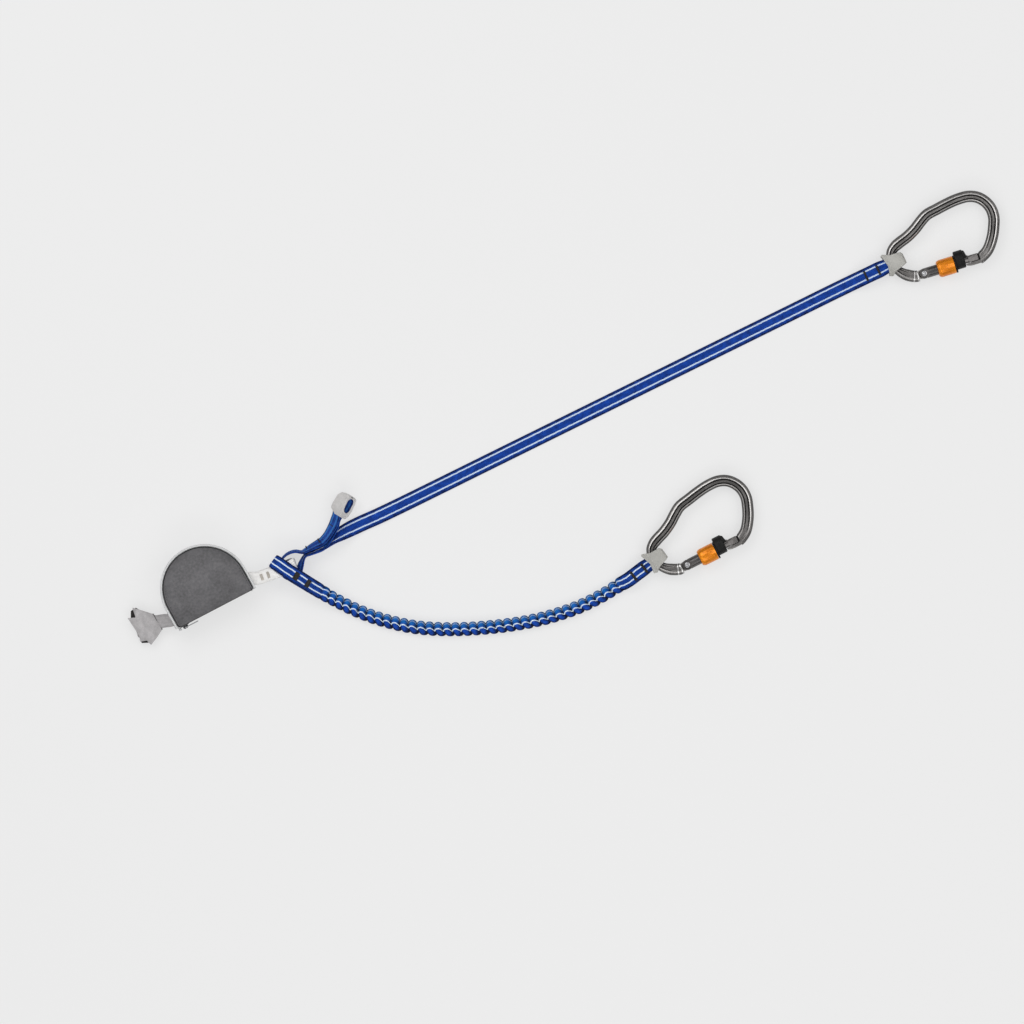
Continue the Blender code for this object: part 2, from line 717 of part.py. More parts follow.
UPPER_EYE = (893.3, 263.1)
UPPER_ARM_HEADING = 25.5
UPPER_GATE_HEADING = 17.0
LOWER_EYE = (655.2, 559.5)
LOWER_ARM_HEADING = 37.0
LOWER_GATE_HEADING = 26.9

carabiner("upper", UPPER_EYE, UPPER_ARM_HEADING, UPPER_GATE_HEADING)
carabiner("lower", LOWER_EYE, LOWER_ARM_HEADING, LOWER_GATE_HEADING)

# Rubber protectors. Outlines are shares of the protector's length: along the arm, and across.
PROTECTOR_PLAN_SHARES = [
    (-0.377, 0.613),
    (-0.028, 0.425),
    (0.28, 0.385),
    (0.50, 0.34),
    (0.578, 0.22),
    (0.578, -0.259),
    (0.43, -0.32),
    (-0.12, -0.436),
    (-0.288, -0.581),
    (-0.46, -0.50),
    (-0.402, -0.258),
    (-0.347, -0.038),
    (-0.409, 0.338),
    (-0.46, 0.55),
]
PROTECTOR_SIDE_SHARES = [
    (0.60, 0.50),
    (0.50, 0.86),
    (0.30, 1.0),
    (-0.18, 1.0),
    (-0.36, 0.80),
    (-0.52, 0.72),
]
ACROSS_ARM = Matrix.Rotation(math.radians(90), 4, "X")


def protector(name, where, half_height, cavity, mouth):
    """A rubber protector: its plan cut to its side view, with the eye's cavity and mouth."""
    plan = [(x * PROTECTOR_LENGTH, y * PROTECTOR_LENGTH) for x, y in PROTECTOR_PLAN_SHARES]
    thing = add(name, extruded(plan, half_height), RUBBER, where)
    top = [(x * PROTECTOR_LENGTH, z * half_height) for x, z in PROTECTOR_SIDE_SHARES]
    side = top + [(x, -z) for x, z in reversed(top)]
    shape(thing, extruded(side, PROTECTOR_LENGTH, ACROSS_ARM), "INTERSECT")
    shape(thing, extruded(cavity, PROTECTOR_LENGTH, ACROSS_ARM))
    shape(thing, extruded(mouth, WEBBING_WIDTH / 2 + FIT_GAP, ACROSS_ARM))
    return thing


EYE_RADIUS = EYE_BORE_RADIUS + WEBBING_THICKNESS / 2
CAVITY_RADIUS = EYE_BORE_RADIUS + WEBBING_THICKNESS + FIT_GAP
TANGENT_ANGLE = math.degrees(math.acos((EYE_RADIUS - LAYER / 2) / EYE_SEWN_START))


def carabiner_protector(name, where):
    cavity = arc((0.0, 0.0), CAVITY_RADIUS, 0, 345, 24)
    reach = LAYER + 2 * FIT_GAP
    inner = -0.3 * CAVITY_RADIUS
    mouth = [(-EYE_SEWN_START, reach), (inner, CAVITY_RADIUS - FIT_GAP / 2)]
    mouth += [(x, -z) for x, z in reversed(mouth)]
    return protector(name, where, PROTECTOR_HALF_HEIGHT, cavity, mouth)


carabiner_protector("upper_protector", place(*UPPER_EYE, CARABINER_HEIGHT, UPPER_ARM_HEADING))
carabiner_protector("lower_protector", place(*LOWER_EYE, CARABINER_HEIGHT, LOWER_ARM_HEADING))


def carabiner_eye(eye, arm_heading, width):
    """Stations of the webbing over the rod and back, from the sewn part to its tail."""
    ahead, across = heading_of(arm_heading), heading_of(arm_heading - 90)
    middle = spot(*eye, CARABINER_HEIGHT)
    rows = [(middle - ahead * EYE_SEWN_START + UP * LAYER / 2, across, width)]
    top = 180 - TANGENT_ANGLE
    for angle in np.linspace(top, -top, 11):
        out = ahead * math.cos(math.radians(angle)) + UP * math.sin(math.radians(angle))
        rows.append((middle + out * EYE_RADIUS, across, EYE_WEBBING_WIDTH))
    rows.append((middle - ahead * EYE_SEWN_START - UP * LAYER / 2, across, width))
    tail = EYE_SEWN_START + EYE_SEWN_LENGTH
    rows.append((middle - ahead * (EYE_SEWN_START + 0.5 * EYE_SEWN_LENGTH) - UP * LAYER / 2, across, width))
    rows.append((middle - ahead * tail - UP * LAYER / 2, across, width))
    return rows


# Long arm: from its tail in the stem, round its eye at the junction, back along the stem,
# a quarter twist, and flat along the floor to the carabiner.
STEM_ROUTE = [(303.5, 553.0), (312.0, 548.3), (322.0, 542.8), (331.0, 537.0)]
STEM_NORMAL = np.array((-0.47, 0.883, 0.0))
LONG_EYE_ROUTE = [
    (296.0, 551.2),
    (290.5, 552.4),
    (285.0, 555.8),
    (280.8, 561.5),
    (279.5, 568.5),
    (282.5, 575.5),
    (288.5, 579.3),
    (295.2, 577.6),
    (299.2, 571.8),
    (301.0, 565.0),
]
LONG_ARM_ROUTE = [
    (360.0, 524.2),
    (378.0, 516.2),
    (400.0, 505.7),
    (510.0, 451.4),
    (620.0, 397.1),
    (730.0, 342.8),
    (800.0, 308.3),
    (832.0, 292.5),
]
STEM_HEIGHT = WEBBING_WIDTH / 2 + FIT_GAP
# The rise to the carabiner: how far before its eye, and the share of its height
LONG_RISE_LENGTHS = (0.044, 0.034, 0.024)
LONG_RISE_SHARES = (0.25, 0.8, 1.0)


LONG_STEM_LAYERS = 1.6
LONG_TURN_ROUTE = [(333.0, 539.6), (344.0, 532.3)]
LONG_TURN_SHARES = [(0.97, 0.9, 0.4), (0.55, 0.4, 0.9)]


def stem_point(index, layers, height):
    return spot(*STEM_ROUTE[index], height) + STEM_NORMAL * LAYER * layers


def long_arm():
    width = WEBBING_WIDTH
    middle_height = (EYE_MIDDLE + STEM_HEIGHT) / 2
    out = LONG_STEM_LAYERS
    rows = [(stem_point(2, out, STEM_HEIGHT), UP, width)]
    rows.append((stem_point(1, out, middle_height), UP, width))
    rows.append((stem_point(0, out, EYE_MIDDLE), UP, width))
    rows += [(spot(x, y, EYE_MIDDLE), UP, width) for x, y in LONG_EYE_ROUTE]
    rows.append((stem_point(0, -out, EYE_MIDDLE), UP, width))
    rows.append((stem_point(1, -out, middle_height), UP, width))
    rows.append((stem_point(2, -out, STEM_HEIGHT), UP, width))
    right = heading_of(UPPER_ARM_HEADING - 90)
    for (x, y), (height, upright, level) in zip(LONG_TURN_ROUTE, LONG_TURN_SHARES):
        rows.append((spot(x, y, height * STEM_HEIGHT), upright * UP + level * right, width))
    for i, (x, y) in enumerate(LONG_ARM_ROUTE):
        rows.append((spot(x, y, FLOOR + (4 * FIT_GAP if i < 2 else 0.0)), right, width))
    ahead = heading_of(UPPER_ARM_HEADING)
    eye = spot(*UPPER_EYE, 0.0)
    for back, share in zip(LONG_RISE_LENGTHS, LONG_RISE_SHARES):
        lift = FLOOR if back == LONG_RISE_LENGTHS[0] else LAYER / 2
        rows.append((eye - back * ahead + UP * (CARABINER_HEIGHT * share + lift), right, width))
    rows += carabiner_eye(UPPER_EYE, UPPER_ARM_HEADING, width)
    return webbing("long_arm_webbing", rows, BLUE, lowest=FLOOR)


long_line = long_arm()[1]

# Rest branch: a doubled strap out of the stem, leaning more and more, with an open eye
REST_ROUTE = [(329.0, 534.6), (333.6, 526.4)]
REST_EYE = (343.9, 504.3)
REST_HEADING = 62.0
REST_LEAN = 48.0
REST_EYE_HEIGHT = 0.0131
REST_EYE_HALF_WIDTH = 0.0042
REST_EYE_HALF_LENGTH = 0.0076
REST_NECK = 0.0062
REST_WALL = 0.0014


def leaning(heading, lean):
    """The width direction of webbing on edge whose top leans to the right of its heading."""
    right = heading_of(heading - 90)
    return UP * math.cos(math.radians(lean)) + right * math.sin(math.radians(lean))


def rest_frame():
    ahead = heading_of(REST_HEADING)
    wide = leaning(REST_HEADING, REST_LEAN)
    return ahead, wide, np.cross(ahead, wide), spot(*REST_EYE, REST_EYE_HEIGHT)


def rest_branch():
    ahead, wide, lift, middle = rest_frame()
    radius = REST_EYE_HALF_WIDTH + WEBBING_THICKNESS / 2
    ends = REST_EYE_HALF_LENGTH - REST_EYE_HALF_WIDTH
    neck = middle - ahead * (REST_EYE_HALF_LENGTH + REST_NECK)
    middle_height = (EYE_MIDDLE + STEM_HEIGHT) / 2
    trunk = [
        (spot(*STEM_ROUTE[0], EYE_MIDDLE), UP),
        (spot(*STEM_ROUTE[1], middle_height), UP),
        (spot(*STEM_ROUTE[2], STEM_HEIGHT), UP),
        (spot(*REST_ROUTE[0], STEM_HEIGHT + FIT_GAP), leaning(48, 8)),
        (spot(*REST_ROUTE[1], STEM_HEIGHT + 2 * FIT_GAP), leaning(56, 0.5 * REST_LEAN)),
        (neck + 2 * UP * FIT_GAP, wide),
    ]
    forward = directions(np.array([point for point, _ in trunk]))
    faces = [np.cross(ahead_of, across) for ahead_of, (_, across) in zip(forward, trunk)]
    faces[:3] = [STEM_NORMAL * math.copysign(1, float(np.dot(STEM_NORMAL, face))) for face in faces[:3]]
    out = [
        (point + face * LAYER / 2, across, WEBBING_WIDTH)
        for (point, across), face in zip(trunk, faces)
    ]
    back = [
        (point - face * LAYER / 2, across, WEBBING_WIDTH)
        for (point, across), face in zip(trunk, faces)
    ]
    eye = []
    for centre, start, end, count in ((-ends, 118, 90, 2), (ends, 90, -90, 7), (-ends, -90, -118, 2)):
        for x, y in arc((centre, 0.0), radius, start, end, count):
            eye.append((middle + ahead * x + lift * y, wide, WEBBING_WIDTH))
    return webbing("rest_branch_webbing", out + eye + list(reversed(back)), BLUE, 0.8 * PATH_STEP)


rest_branch()


def rest_protector():
    ahead, wide, lift, middle = rest_frame()
    radius = REST_EYE_HALF_WIDTH + WEBBING_THICKNESS + FIT_GAP
    ends = REST_EYE_HALF_LENGTH - REST_EYE_HALF_WIDTH
    where = Matrix.Identity(4)
    for column, direction in enumerate((ahead, -wide, lift)):
        for row in range(3):
            where[row][column] = direction[row]
    where.translation = Vector(middle)
    cavity = arc((ends, 0.0), radius, 90, -90, 9) + arc((-ends, 0.0), radius, 270, 90, 9)
    inner = -ends - 0.3 * radius
    neck = -REST_EYE_HALF_LENGTH - REST_NECK
    mouth = [(neck, LAYER + 2 * FIT_GAP), (inner, radius - FIT_GAP / 2)]
    mouth += [(x, -z) for x, z in reversed(mouth)]
    return protector("rest_branch_protector", where, radius + REST_WALL, cavity, mouth)


rest_protector()

# Elastic arm: webbing gathered over a rubber core. Its tail and under layer run back under
# the loop's upper strand, fold over, and the upper layer goes on into the gathered run.
ELASTIC_UNDER_ROUTE = [
    (311.0, 587.0, -0.0046),
    (305.0, 583.2, -0.0029),
    (299.0, 579.6, -0.0019),
    (292.0, 575.2, 0.0),
    (285.5, 570.4, 0.0),
    (279.0, 565.4, 0.0),
]
ELASTIC_FOLD = (275.6, 562.0)
ELASTIC_FOLD_HEADING = -36.0
ELASTIC_OVER_ROUTE = [
    (279.0, 564.2, 0.0),
    (285.0, 568.4, 0.0),
    (291.0, 572.4, 0.0),
    (297.0, 576.1, 0.0),
    (303.0, 580.0, 0.0009),
    (310.5, 584.8, 0.0030),
    (318.0, 590.0, 0.0062),
    (328.0, 597.0, 0.0112),
    (340.0, 603.8, 0.0158),
    (356.0, 611.8, 0.0182),
]
ELASTIC_ROUTE = [
    (380.0, 620.4),
    (415.0, 627.0),
    (450.0, 629.2),
    (485.0, 627.6),
    (520.0, 623.2),
    (550.0, 616.6),
    (580.0, 606.4),
    (603.0, 595.0),
    (619.0, 585.2),
]
ELASTIC_WIDTH = 0.0143
ELASTIC_UNDER_WIDTH = 0.0118
ELASTIC_RISE_LENGTHS = (0.0315, 0.0235)
GATHER_START = (322.0, 592.9)
GATHER_END = (615.0, 587.6)
FINE_STEP = 0.0005


def elastic_line():
    """Rows of point, width direction and width, in fine steps, from the tail to the carabiner."""
    right = heading_of(ELASTIC_FOLD_HEADING - 90)
    rows = []
    for x, y, drop in ELASTIC_UNDER_ROUTE:
        height = ELASTIC_UNDER + LAYER * (1 if drop < 0 else 0) + (drop if drop < 0 else 0.0)
        rows.append((spot(x, y, min(height, ELASTIC_OVER + drop - LAYER)), right, ELASTIC_UNDER_WIDTH))
    ahead = heading_of(ELASTIC_FOLD_HEADING)
    middle = spot(*ELASTIC_FOLD, (ELASTIC_UNDER + ELASTIC_OVER) / 2)
    for angle in (-45, 0, 45):
        out = UP * math.sin(math.radians(angle)) - ahead * math.cos(math.radians(angle))
        width = ELASTIC_UNDER_WIDTH + (ELASTIC_WIDTH - ELASTIC_UNDER_WIDTH) * (angle + 90) / 180
        rows.append((middle + out * LAYER, right, width))
    for x, y, drop in ELASTIC_OVER_ROUTE:
        rows.append((spot(x, y, ELASTIC_OVER - drop), right, ELASTIC_WIDTH))
    end_right = heading_of(LOWER_ARM_HEADING - 90)
    lying = PUCKER_HEIGHT / 2 + FIT_GAP
    count = len(ELASTIC_ROUTE)
    for i, (x, y) in enumerate(ELASTIC_ROUTE):
        share = (i + 1) / count
        rows.append((spot(x, y, lying), right * (1 - share) + end_right * share, ELASTIC_WIDTH))
    eye = spot(*LOWER_EYE, CARABINER_HEIGHT + LAYER / 2)
    ahead = heading_of(LOWER_ARM_HEADING)
    drop = 0.25 * (CARABINER_HEIGHT - lying)
    rows.append((eye - ELASTIC_RISE_LENGTHS[0] * ahead - UP * drop, end_right, ELASTIC_WIDTH))
    rows.append((eye - ELASTIC_RISE_LENGTHS[1] * ahead, end_right, ELASTIC_WIDTH))
    rows += carabiner_eye(LOWER_EYE, LOWER_ARM_HEADING, ELASTIC_WIDTH)
    return smooth([(*point, *across, width) for point, across, width in rows], FINE_STEP)


def nearest_run(line, runs, place_of):
    """How far along a line it passes closest above a place in the plane, on its last pass."""
    away = np.linalg.norm(line[:, :2] - spot(*place_of)[:2], axis=1)
    near = np.flatnonzero(away < away.min() + ROUTE_NEARNESS)
    return runs[near[np.argmax(line[near, 2])]]


GATHER_SECTION_SHARES = [(1.0, 0.45), (0.72, 1.0), (-0.72, 1.0), (-1.0, 0.45)]


def elastic_arm():
    """The elastic arm's webbing: flat ends, and puckers in between, with the core's bore."""
    line = elastic_line()
    runs = np.concatenate([[0], np.cumsum(np.linalg.norm(np.diff(line[:, :3], axis=0), axis=1))])
    start = nearest_run(line, runs, GATHER_START)
    end = nearest_run(line, runs, GATHER_END)
    puckers = int(round((end - start) / PUCKER_PITCH))
    gathered = np.linspace(start, end, 2 * puckers + 1)
    before = np.linspace(0, start, int(start / (0.55 * PATH_STEP)))[:-1]
    after = np.linspace(end, runs[-1], int((runs[-1] - end) / (0.5 * PATH_STEP)))[1:]
    wanted = np.concatenate([before, gathered, after])
    points, across, face = frames(line)
    rings, ringed = [], []
    for run in wanted:
        i = int(np.argmin(np.abs(runs - run)))
        ringed.append(line[i])
        ramp = min(1.0, max(0.0, (run - start) / PUCKER_BLEND, 0.0), max(0.0, (end - run) / PUCKER_BLEND))
        crest = 1 if start <= run <= end and int(round((run - start) / (end - start) * 2 * puckers)) % 2 else 0
        dip = ramp * (0 if crest else PUCKER_DEPTH)
        half_width = (line[i, 6] * (1 - ramp) + PUCKER_WIDTH * ramp - dip) / 2
        half_height = (WEBBING_THICKNESS * (1 - ramp) + PUCKER_HEIGHT * ramp - dip) / 2
        ring = [points[i] + across[i] * x * half_width + face[i] * z * half_height
                for x, z in GATHER_SECTION_SHARES]
        ring += [points[i] - across[i] * x * half_width - face[i] * z * half_height
                 for x, z in GATHER_SECTION_SHARES]
        rings.append(ring)
    thing = add("elastic_arm_webbing", loft(rings), BLUE)
    bore_runs = np.linspace(start - 0.3 * PUCKER_BLEND, end + 0.3 * PUCKER_BLEND, 2 * puckers // 3)
    core_runs = np.linspace(start + PUCKER_BLEND, end - PUCKER_BLEND, puckers)
    bore, core = [], []
    for runs_of, out, wide, high in (
        (bore_runs, bore, PUCKER_BORE_WIDTH, PUCKER_BORE_HEIGHT),
        (core_runs, core, PUCKER_BORE_WIDTH - 2 * FIT_GAP, PUCKER_BORE_HEIGHT - 4 * FIT_GAP),
    ):
        for run in runs_of:
            i = int(np.argmin(np.abs(runs - run)))
            inside = min((run - start) / PUCKER_BLEND, (end - run) / PUCKER_BLEND, 1.0)
            sunk = (1 - inside) * (PUCKER_BORE_HEIGHT + WEBBING_THICKNESS) / 2
            upright = face[i] * math.copysign(1, face[i][2])
            middle = points[i] - upright * sunk
            side, lift = across[i] * wide / 2, face[i] * high / 2
            out.append([middle - side - lift, middle + side - lift, middle + side + lift, middle - side + lift])
    shape(thing, loft(bore))
    add("elastic_core", loft(core), ELASTIC_RUBBER)
    print("elastic arm webbing length", float(runs[-1]), "puckers", puckers)
    return np.array(ringed)


elastic_rows = elastic_arm()

# Absorber pouch, in a frame at the middle of its base: X along the base, Y up the arch
POUCH_BASE = (215.4, 608.4)
POUCH_HEADING = 27.6
POUCH_FRAME = place(*POUCH_BASE, 0.0, POUCH_HEADING)
STRAP_HEIGHT = POUCH_DEPTH / 2
CORNER_RADIUS = 0.0030


def pouch_point(x, y, z):
    return np.array(POUCH_FRAME @ Vector((x, y, z)))


def pouch_direction(x, y, z):
    return np.array(POUCH_FRAME.to_3x3() @ Vector((x, y, z)))


def arch(grow, count=15):
    """The pouch's outline without its base, from the right corner round to the left."""
    half = POUCH_WIDTH / 2 + grow
    side = [(half, 0.0), (half, 0.5 * POUCH_SIDE)]
    return side + arc((0.0, POUCH_SIDE), half, 0, 180, count) + [(-x, y) for x, y in reversed(side)]


def panel_outline():
    half = POUCH_WIDTH / 2
    middle = half - CORNER_RADIUS
    rounded = arc((middle, CORNER_RADIUS), CORNER_RADIUS, -90, 0, 4)
    outline = rounded + arch(0.0)[1:-1]
    return outline + [(-x, y) for x, y in reversed(rounded)]


# Rings of the domed panel: how wide, and how high on the dome
DOME_RING_SHARES = [(1.0, -0.30), (0.975, 0.0), (0.84, 0.52), (0.62, 0.84), (0.34, 0.97)]
DOME_MIDDLE_SHARE = 0.42


def front_panel():
    """The domed front panel, a sheet with its thickness downwards."""
    outline = panel_outline()
    middle = (0.0, DOME_MIDDLE_SHARE * (POUCH_SIDE + POUCH_WIDTH / 2))
    work = bmesh.new()
    rings = []
    top = POUCH_DEPTH
    for share, rise in DOME_RING_SHARES:
        ring = []
        for x, y in outline:
            px = middle[0] + (x - middle[0]) * share
            py = middle[1] + (y - middle[1]) * share
            ring.append(work.verts.new((px, py, top + PANEL_DOME * rise)))
        rings.append(ring)
    for outer, inner in zip(rings, rings[1:]):
        for k in range(len(outline)):
            n = (k + 1) % len(outline)
            work.faces.new((outer[k], outer[n], inner[n], inner[k]))
    crown = work.verts.new((*middle, top + PANEL_DOME))
    for k in range(len(outline)):
        work.faces.new((rings[-1][k], rings[-1][(k + 1) % len(outline)], crown))
    mesh = bpy.data.meshes.new("front")
    work.to_mesh(mesh)
    work.free()
    sheet = bpy.data.objects.new("front", mesh)
    solid = sheet.modifiers.new("thickness", "SOLIDIFY")
    solid.thickness = PANEL_THICKNESS
    solid.offset = -1.0
    return add("pouch_front_panel", evaluated_mesh(sheet), POUCH_GREY, POUCH_FRAME)


def back_panel():
    mesh = extruded(panel_outline(), PANEL_THICKNESS / 2)
    mesh.transform(Matrix.Translation((0.0, 0.0, PANEL_THICKNESS / 2)))
    return add("pouch_back_panel", mesh, POUCH_GREY, POUCH_FRAME)


SEAM_LOW = PANEL_THICKNESS + FIT_GAP
SEAM_HIGH = POUCH_DEPTH - PANEL_THICKNESS - 0.30 * PANEL_DOME - FIT_GAP


def gusset():
    """The band round the arch, turned in under both panels, with a slot for each strap."""
    low, high = SEAM_LOW, SEAM_HIGH
    wall = GUSSET_WALL
    section = [
        (-GUSSET_TURN_IN, low),
        (0.45 * GUSSET_PROUD, low),
        (GUSSET_PROUD, low + 2 * wall),
        (GUSSET_PROUD, high - 2 * wall),
        (0.45 * GUSSET_PROUD, high),
        (-GUSSET_TURN_IN, high),
        (-GUSSET_TURN_IN, high - wall),
        (0.45 * GUSSET_PROUD - 0.5 * wall, high - wall),
        (GUSSET_PROUD - wall, high - 2.5 * wall),
        (GUSSET_PROUD - wall, low + 2.5 * wall),
        (0.45 * GUSSET_PROUD - 0.5 * wall, low + wall),
        (-GUSSET_TURN_IN, low + wall),
    ]
    lines = [arch(grow) for grow, _ in section]
    rings = [
        [(*lines[k][i], height) for k, (_, height) in enumerate(section)]
        for i in range(len(lines[0]))
    ]
    thing = add("pouch_gusset", loft(rings), BAND_GREY, POUCH_FRAME)
    reach = POUCH_WIDTH / 2 + GUSSET_PROUD + CUT_OVERRUN
    inner = POUCH_WIDTH / 2 - GUSSET_TURN_IN - CUT_OVERRUN
    half = HITCH_STRAP_WIDTH / 2 + 2 * FIT_GAP
    for sign, layers in ((-1, 1), (1, 3)):
        high_half = (layers * LAYER + 2 * FIT_GAP) / 2
        middle = STRAP_HEIGHT + (LAYER / 2 if sign < 0 else 0.0)
        ends = sorted((sign * inner, sign * reach))
        low_corner = (ends[0], STRAP_ENTRY - half, middle - high_half)
        shape(thing, box(low_corner, (ends[1], STRAP_ENTRY + half, middle + high_half)))
    return thing


def piping(name, height):
    grow = PIPING_RADIUS + FIT_GAP
    line = [(x, y, height) for x, y in arch(grow)]
    return add(name, wire(line, PIPING_RADIUS, 1), BAND_GREY, POUCH_FRAME)


front_panel()
back_panel()
gusset()
piping("pouch_front_piping", SEAM_HIGH + FIT_GAP + PIPING_RADIUS)
piping("pouch_back_piping", SEAM_LOW - FIT_GAP - PIPING_RADIUS)

# Zip along the base: two tapes, two rows of teeth with a parting between, slider and pull
ZIP_HALF = POUCH_WIDTH / 2 - ZIP_MARGIN
ZIP_ROW = ZIP_PARTING / 2 + ZIP_TOOTH + ZIP_BAR
FLAT_TO_BASE = Matrix.Rotation(math.radians(90), 4, "X")


TOOTH_ROOT_SHARE, TOOTH_TIP_SHARE = 0.22, 0.32


def teeth_row(name, sign):
    """A row of teeth as one comb, the second set half a tooth along."""
    pitch = 2 * ZIP_HALF / ZIP_TOOTH_COUNT
    near, root, back = ZIP_PARTING / 2, ZIP_PARTING / 2 + ZIP_TOOTH, ZIP_ROW
    outline = [(-ZIP_HALF, sign * back), (-ZIP_HALF, sign * root)]
    shift = 0.0 if sign > 0 else 0.5 * pitch
    for k in range(ZIP_TOOTH_COUNT - (0 if sign > 0 else 1)):
        left = -ZIP_HALF + shift + k * pitch
        outline.append((left + TOOTH_ROOT_SHARE * pitch, sign * root))
        outline.append((left + TOOTH_TIP_SHARE * pitch, sign * near))
        outline.append((left + (1 - TOOTH_TIP_SHARE) * pitch, sign * near))
        outline.append((left + (1 - TOOTH_ROOT_SHARE) * pitch, sign * root))
    outline += [(ZIP_HALF, sign * root), (ZIP_HALF, sign * back)]
    mesh = extruded(outline, ZIP_DEPTH / 2, FLAT_TO_BASE)
    mesh.transform(Matrix.Translation((0.0, ZIP_DEPTH / 2, STRAP_HEIGHT)))
    return add(name, mesh, POUCH_GREY, POUCH_FRAME)


def zip_tape(name, low, high):
    depth = (ZIP_DEPTH - TAPE_THICKNESS) / 2
    corner = (-ZIP_HALF, depth, low)
    return add(name, box(corner, (ZIP_HALF, depth + TAPE_THICKNESS, high)), POUCH_GREY, POUCH_FRAME)


SLIDER_PLACE = FIT_GAP + SLIDER_LENGTH / 2 - ZIP_HALF
SLIDER_HALF_HEIGHT = ZIP_ROW + 4 * FIT_GAP
OUTER_FACE = -FIT_GAP
INNER_FACE = ZIP_DEPTH + FIT_GAP
BAIL_FOOT = OUTER_FACE - SLIDER_PLATE
PULL_AXIS = BAIL_FOOT - 0.58 * BAIL_HEIGHT
SLIDER_FRAME = POUCH_FRAME @ Matrix.Translation((SLIDER_PLACE, 0.0, STRAP_HEIGHT))


def slider_plate(near, far):
    """One plate of the slider, narrower at its closed end."""
    half, wide = SLIDER_LENGTH / 2, SLIDER_HALF_HEIGHT
    outline = [
        (-half, -0.9 * wide),
        (-0.5 * half, -wide),
        (half, -0.8 * wide),
        (half, 0.8 * wide),
        (-0.5 * half, wide),
        (-half, 0.9 * wide),
    ]
    mesh = extruded(outline, abs(far - near) / 2, FLAT_TO_BASE)
    mesh.transform(Matrix.Translation((0.0, (near + far) / 2, 0.0)))
    return mesh


def zip_slider(parent):
    """Two plates on a post between the rows, and a bail for the pull."""
    outer = slider_plate(BAIL_FOOT, OUTER_FACE)
    thing = add("zip_slider", outer, STEEL, SLIDER_FRAME, parent)
    inner = slider_plate(INNER_FACE, INNER_FACE + SLIDER_PLATE)
    post_start = -0.42 * SLIDER_LENGTH
    post_low = (post_start, OUTER_FACE - SLIDER_PLATE / 2, -SLIDER_POST / 2)
    post_high = (post_start + 2.5 * SLIDER_POST, INNER_FACE + SLIDER_PLATE / 2, SLIDER_POST / 2)
    shape(thing, box(post_low, post_high), "UNION")
    shape(thing, inner, "UNION")
    top = BAIL_FOOT - BAIL_HEIGHT
    bail = [
        (-BAIL_LENGTH / 2, BAIL_FOOT + SLIDER_PLATE / 2),
        (-BAIL_LENGTH / 2, BAIL_FOOT - 0.55 * BAIL_HEIGHT),
        (-0.26 * BAIL_LENGTH, top),
        (0.26 * BAIL_LENGTH, top),
        (BAIL_LENGTH / 2, BAIL_FOOT - 0.55 * BAIL_HEIGHT),
        (BAIL_LENGTH / 2, BAIL_FOOT + SLIDER_PLATE / 2),
    ]
    shape(thing, extruded(bail, BAIL_THICKNESS / 2), "UNION")
    hole = cylinder(PULL_PIN_RADIUS + FIT_GAP / 2, -BAIL_THICKNESS, BAIL_THICKNESS, 12)
    hole.transform(Matrix.Translation((0.0, PULL_AXIS, 0.0)))
    return shape(thing, hole)


def zip_pull(parent):
    """A tab with a window for the bail and a pin through it."""
    half = PULL_WIDTH / 2
    back = 0.9 * PULL_THICKNESS
    mesh = bevelled(box((-back, -PULL_THICKNESS / 2, -half), (PULL_LENGTH, PULL_THICKNESS / 2, half)), 0.2 * back)
    where = SLIDER_FRAME @ Matrix.Translation((0.0, PULL_AXIS, 0.0))
    thing = add("zip_pull", mesh, STEEL, where, parent)
    window_half = BAIL_THICKNESS / 2 + FIT_GAP
    window_end = BAIL_LENGTH / 2 + 2 * FIT_GAP
    reach = PULL_THICKNESS + CUT_OVERRUN
    shape(thing, box((-back - reach, -reach, -window_half), (window_end, reach, window_half)))
    pin = cylinder(PULL_PIN_RADIUS, -0.8 * half, 0.8 * half, 10)
    return shape(thing, pin, "UNION")


def zip_end_tab():
    """The folded tape end past the slider at the left corner."""
    left = -POUCH_WIDTH / 2 + 0.3 * ZIP_MARGIN
    right = -ZIP_HALF - FIT_GAP
    low = (left, -TAB_PROUD, STRAP_HEIGHT - TAB_HALF_HEIGHT)
    mesh = bevelled(box(low, (right, TAB_SEAT, STRAP_HEIGHT + TAB_HALF_HEIGHT)), TAB_ROUND)
    return add("zip_end_tab", mesh, BAND_GREY, POUCH_FRAME)


teeth_row("zip_teeth_upper", 1)
teeth_row("zip_teeth_lower", -1)
TAPE_INNER = ZIP_ROW + FIT_GAP
zip_tape("zip_tape_upper", STRAP_HEIGHT + TAPE_INNER, SEAM_HIGH)
zip_tape("zip_tape_lower", SEAM_LOW, STRAP_HEIGHT - TAPE_INNER)
slider_pivot = pivot("zip_slider_pivot", SLIDER_FRAME)
pull_pivot = pivot("zip_pull_pivot", SLIDER_FRAME @ Matrix.Translation((0.0, PULL_AXIS, 0.0)))
zip_slider(slider_pivot)
zip_pull(pull_pivot)
zip_end_tab()
print("zip pull pivot", tuple(round(v, 5) for v in pivots["zip_pull_pivot"].translation))

# Tear webbing: two plies woven together, folded to and fro up the arch
TEAR_BEND = TEAR_PITCH / 2
TAIL_BEND = 0.0025
TAIL_TWIST_START = 0.0130
TAIL_TWIST_END = 0.0270
TAIL_END = 0.0365
TEAR_MARGIN = 0.0070


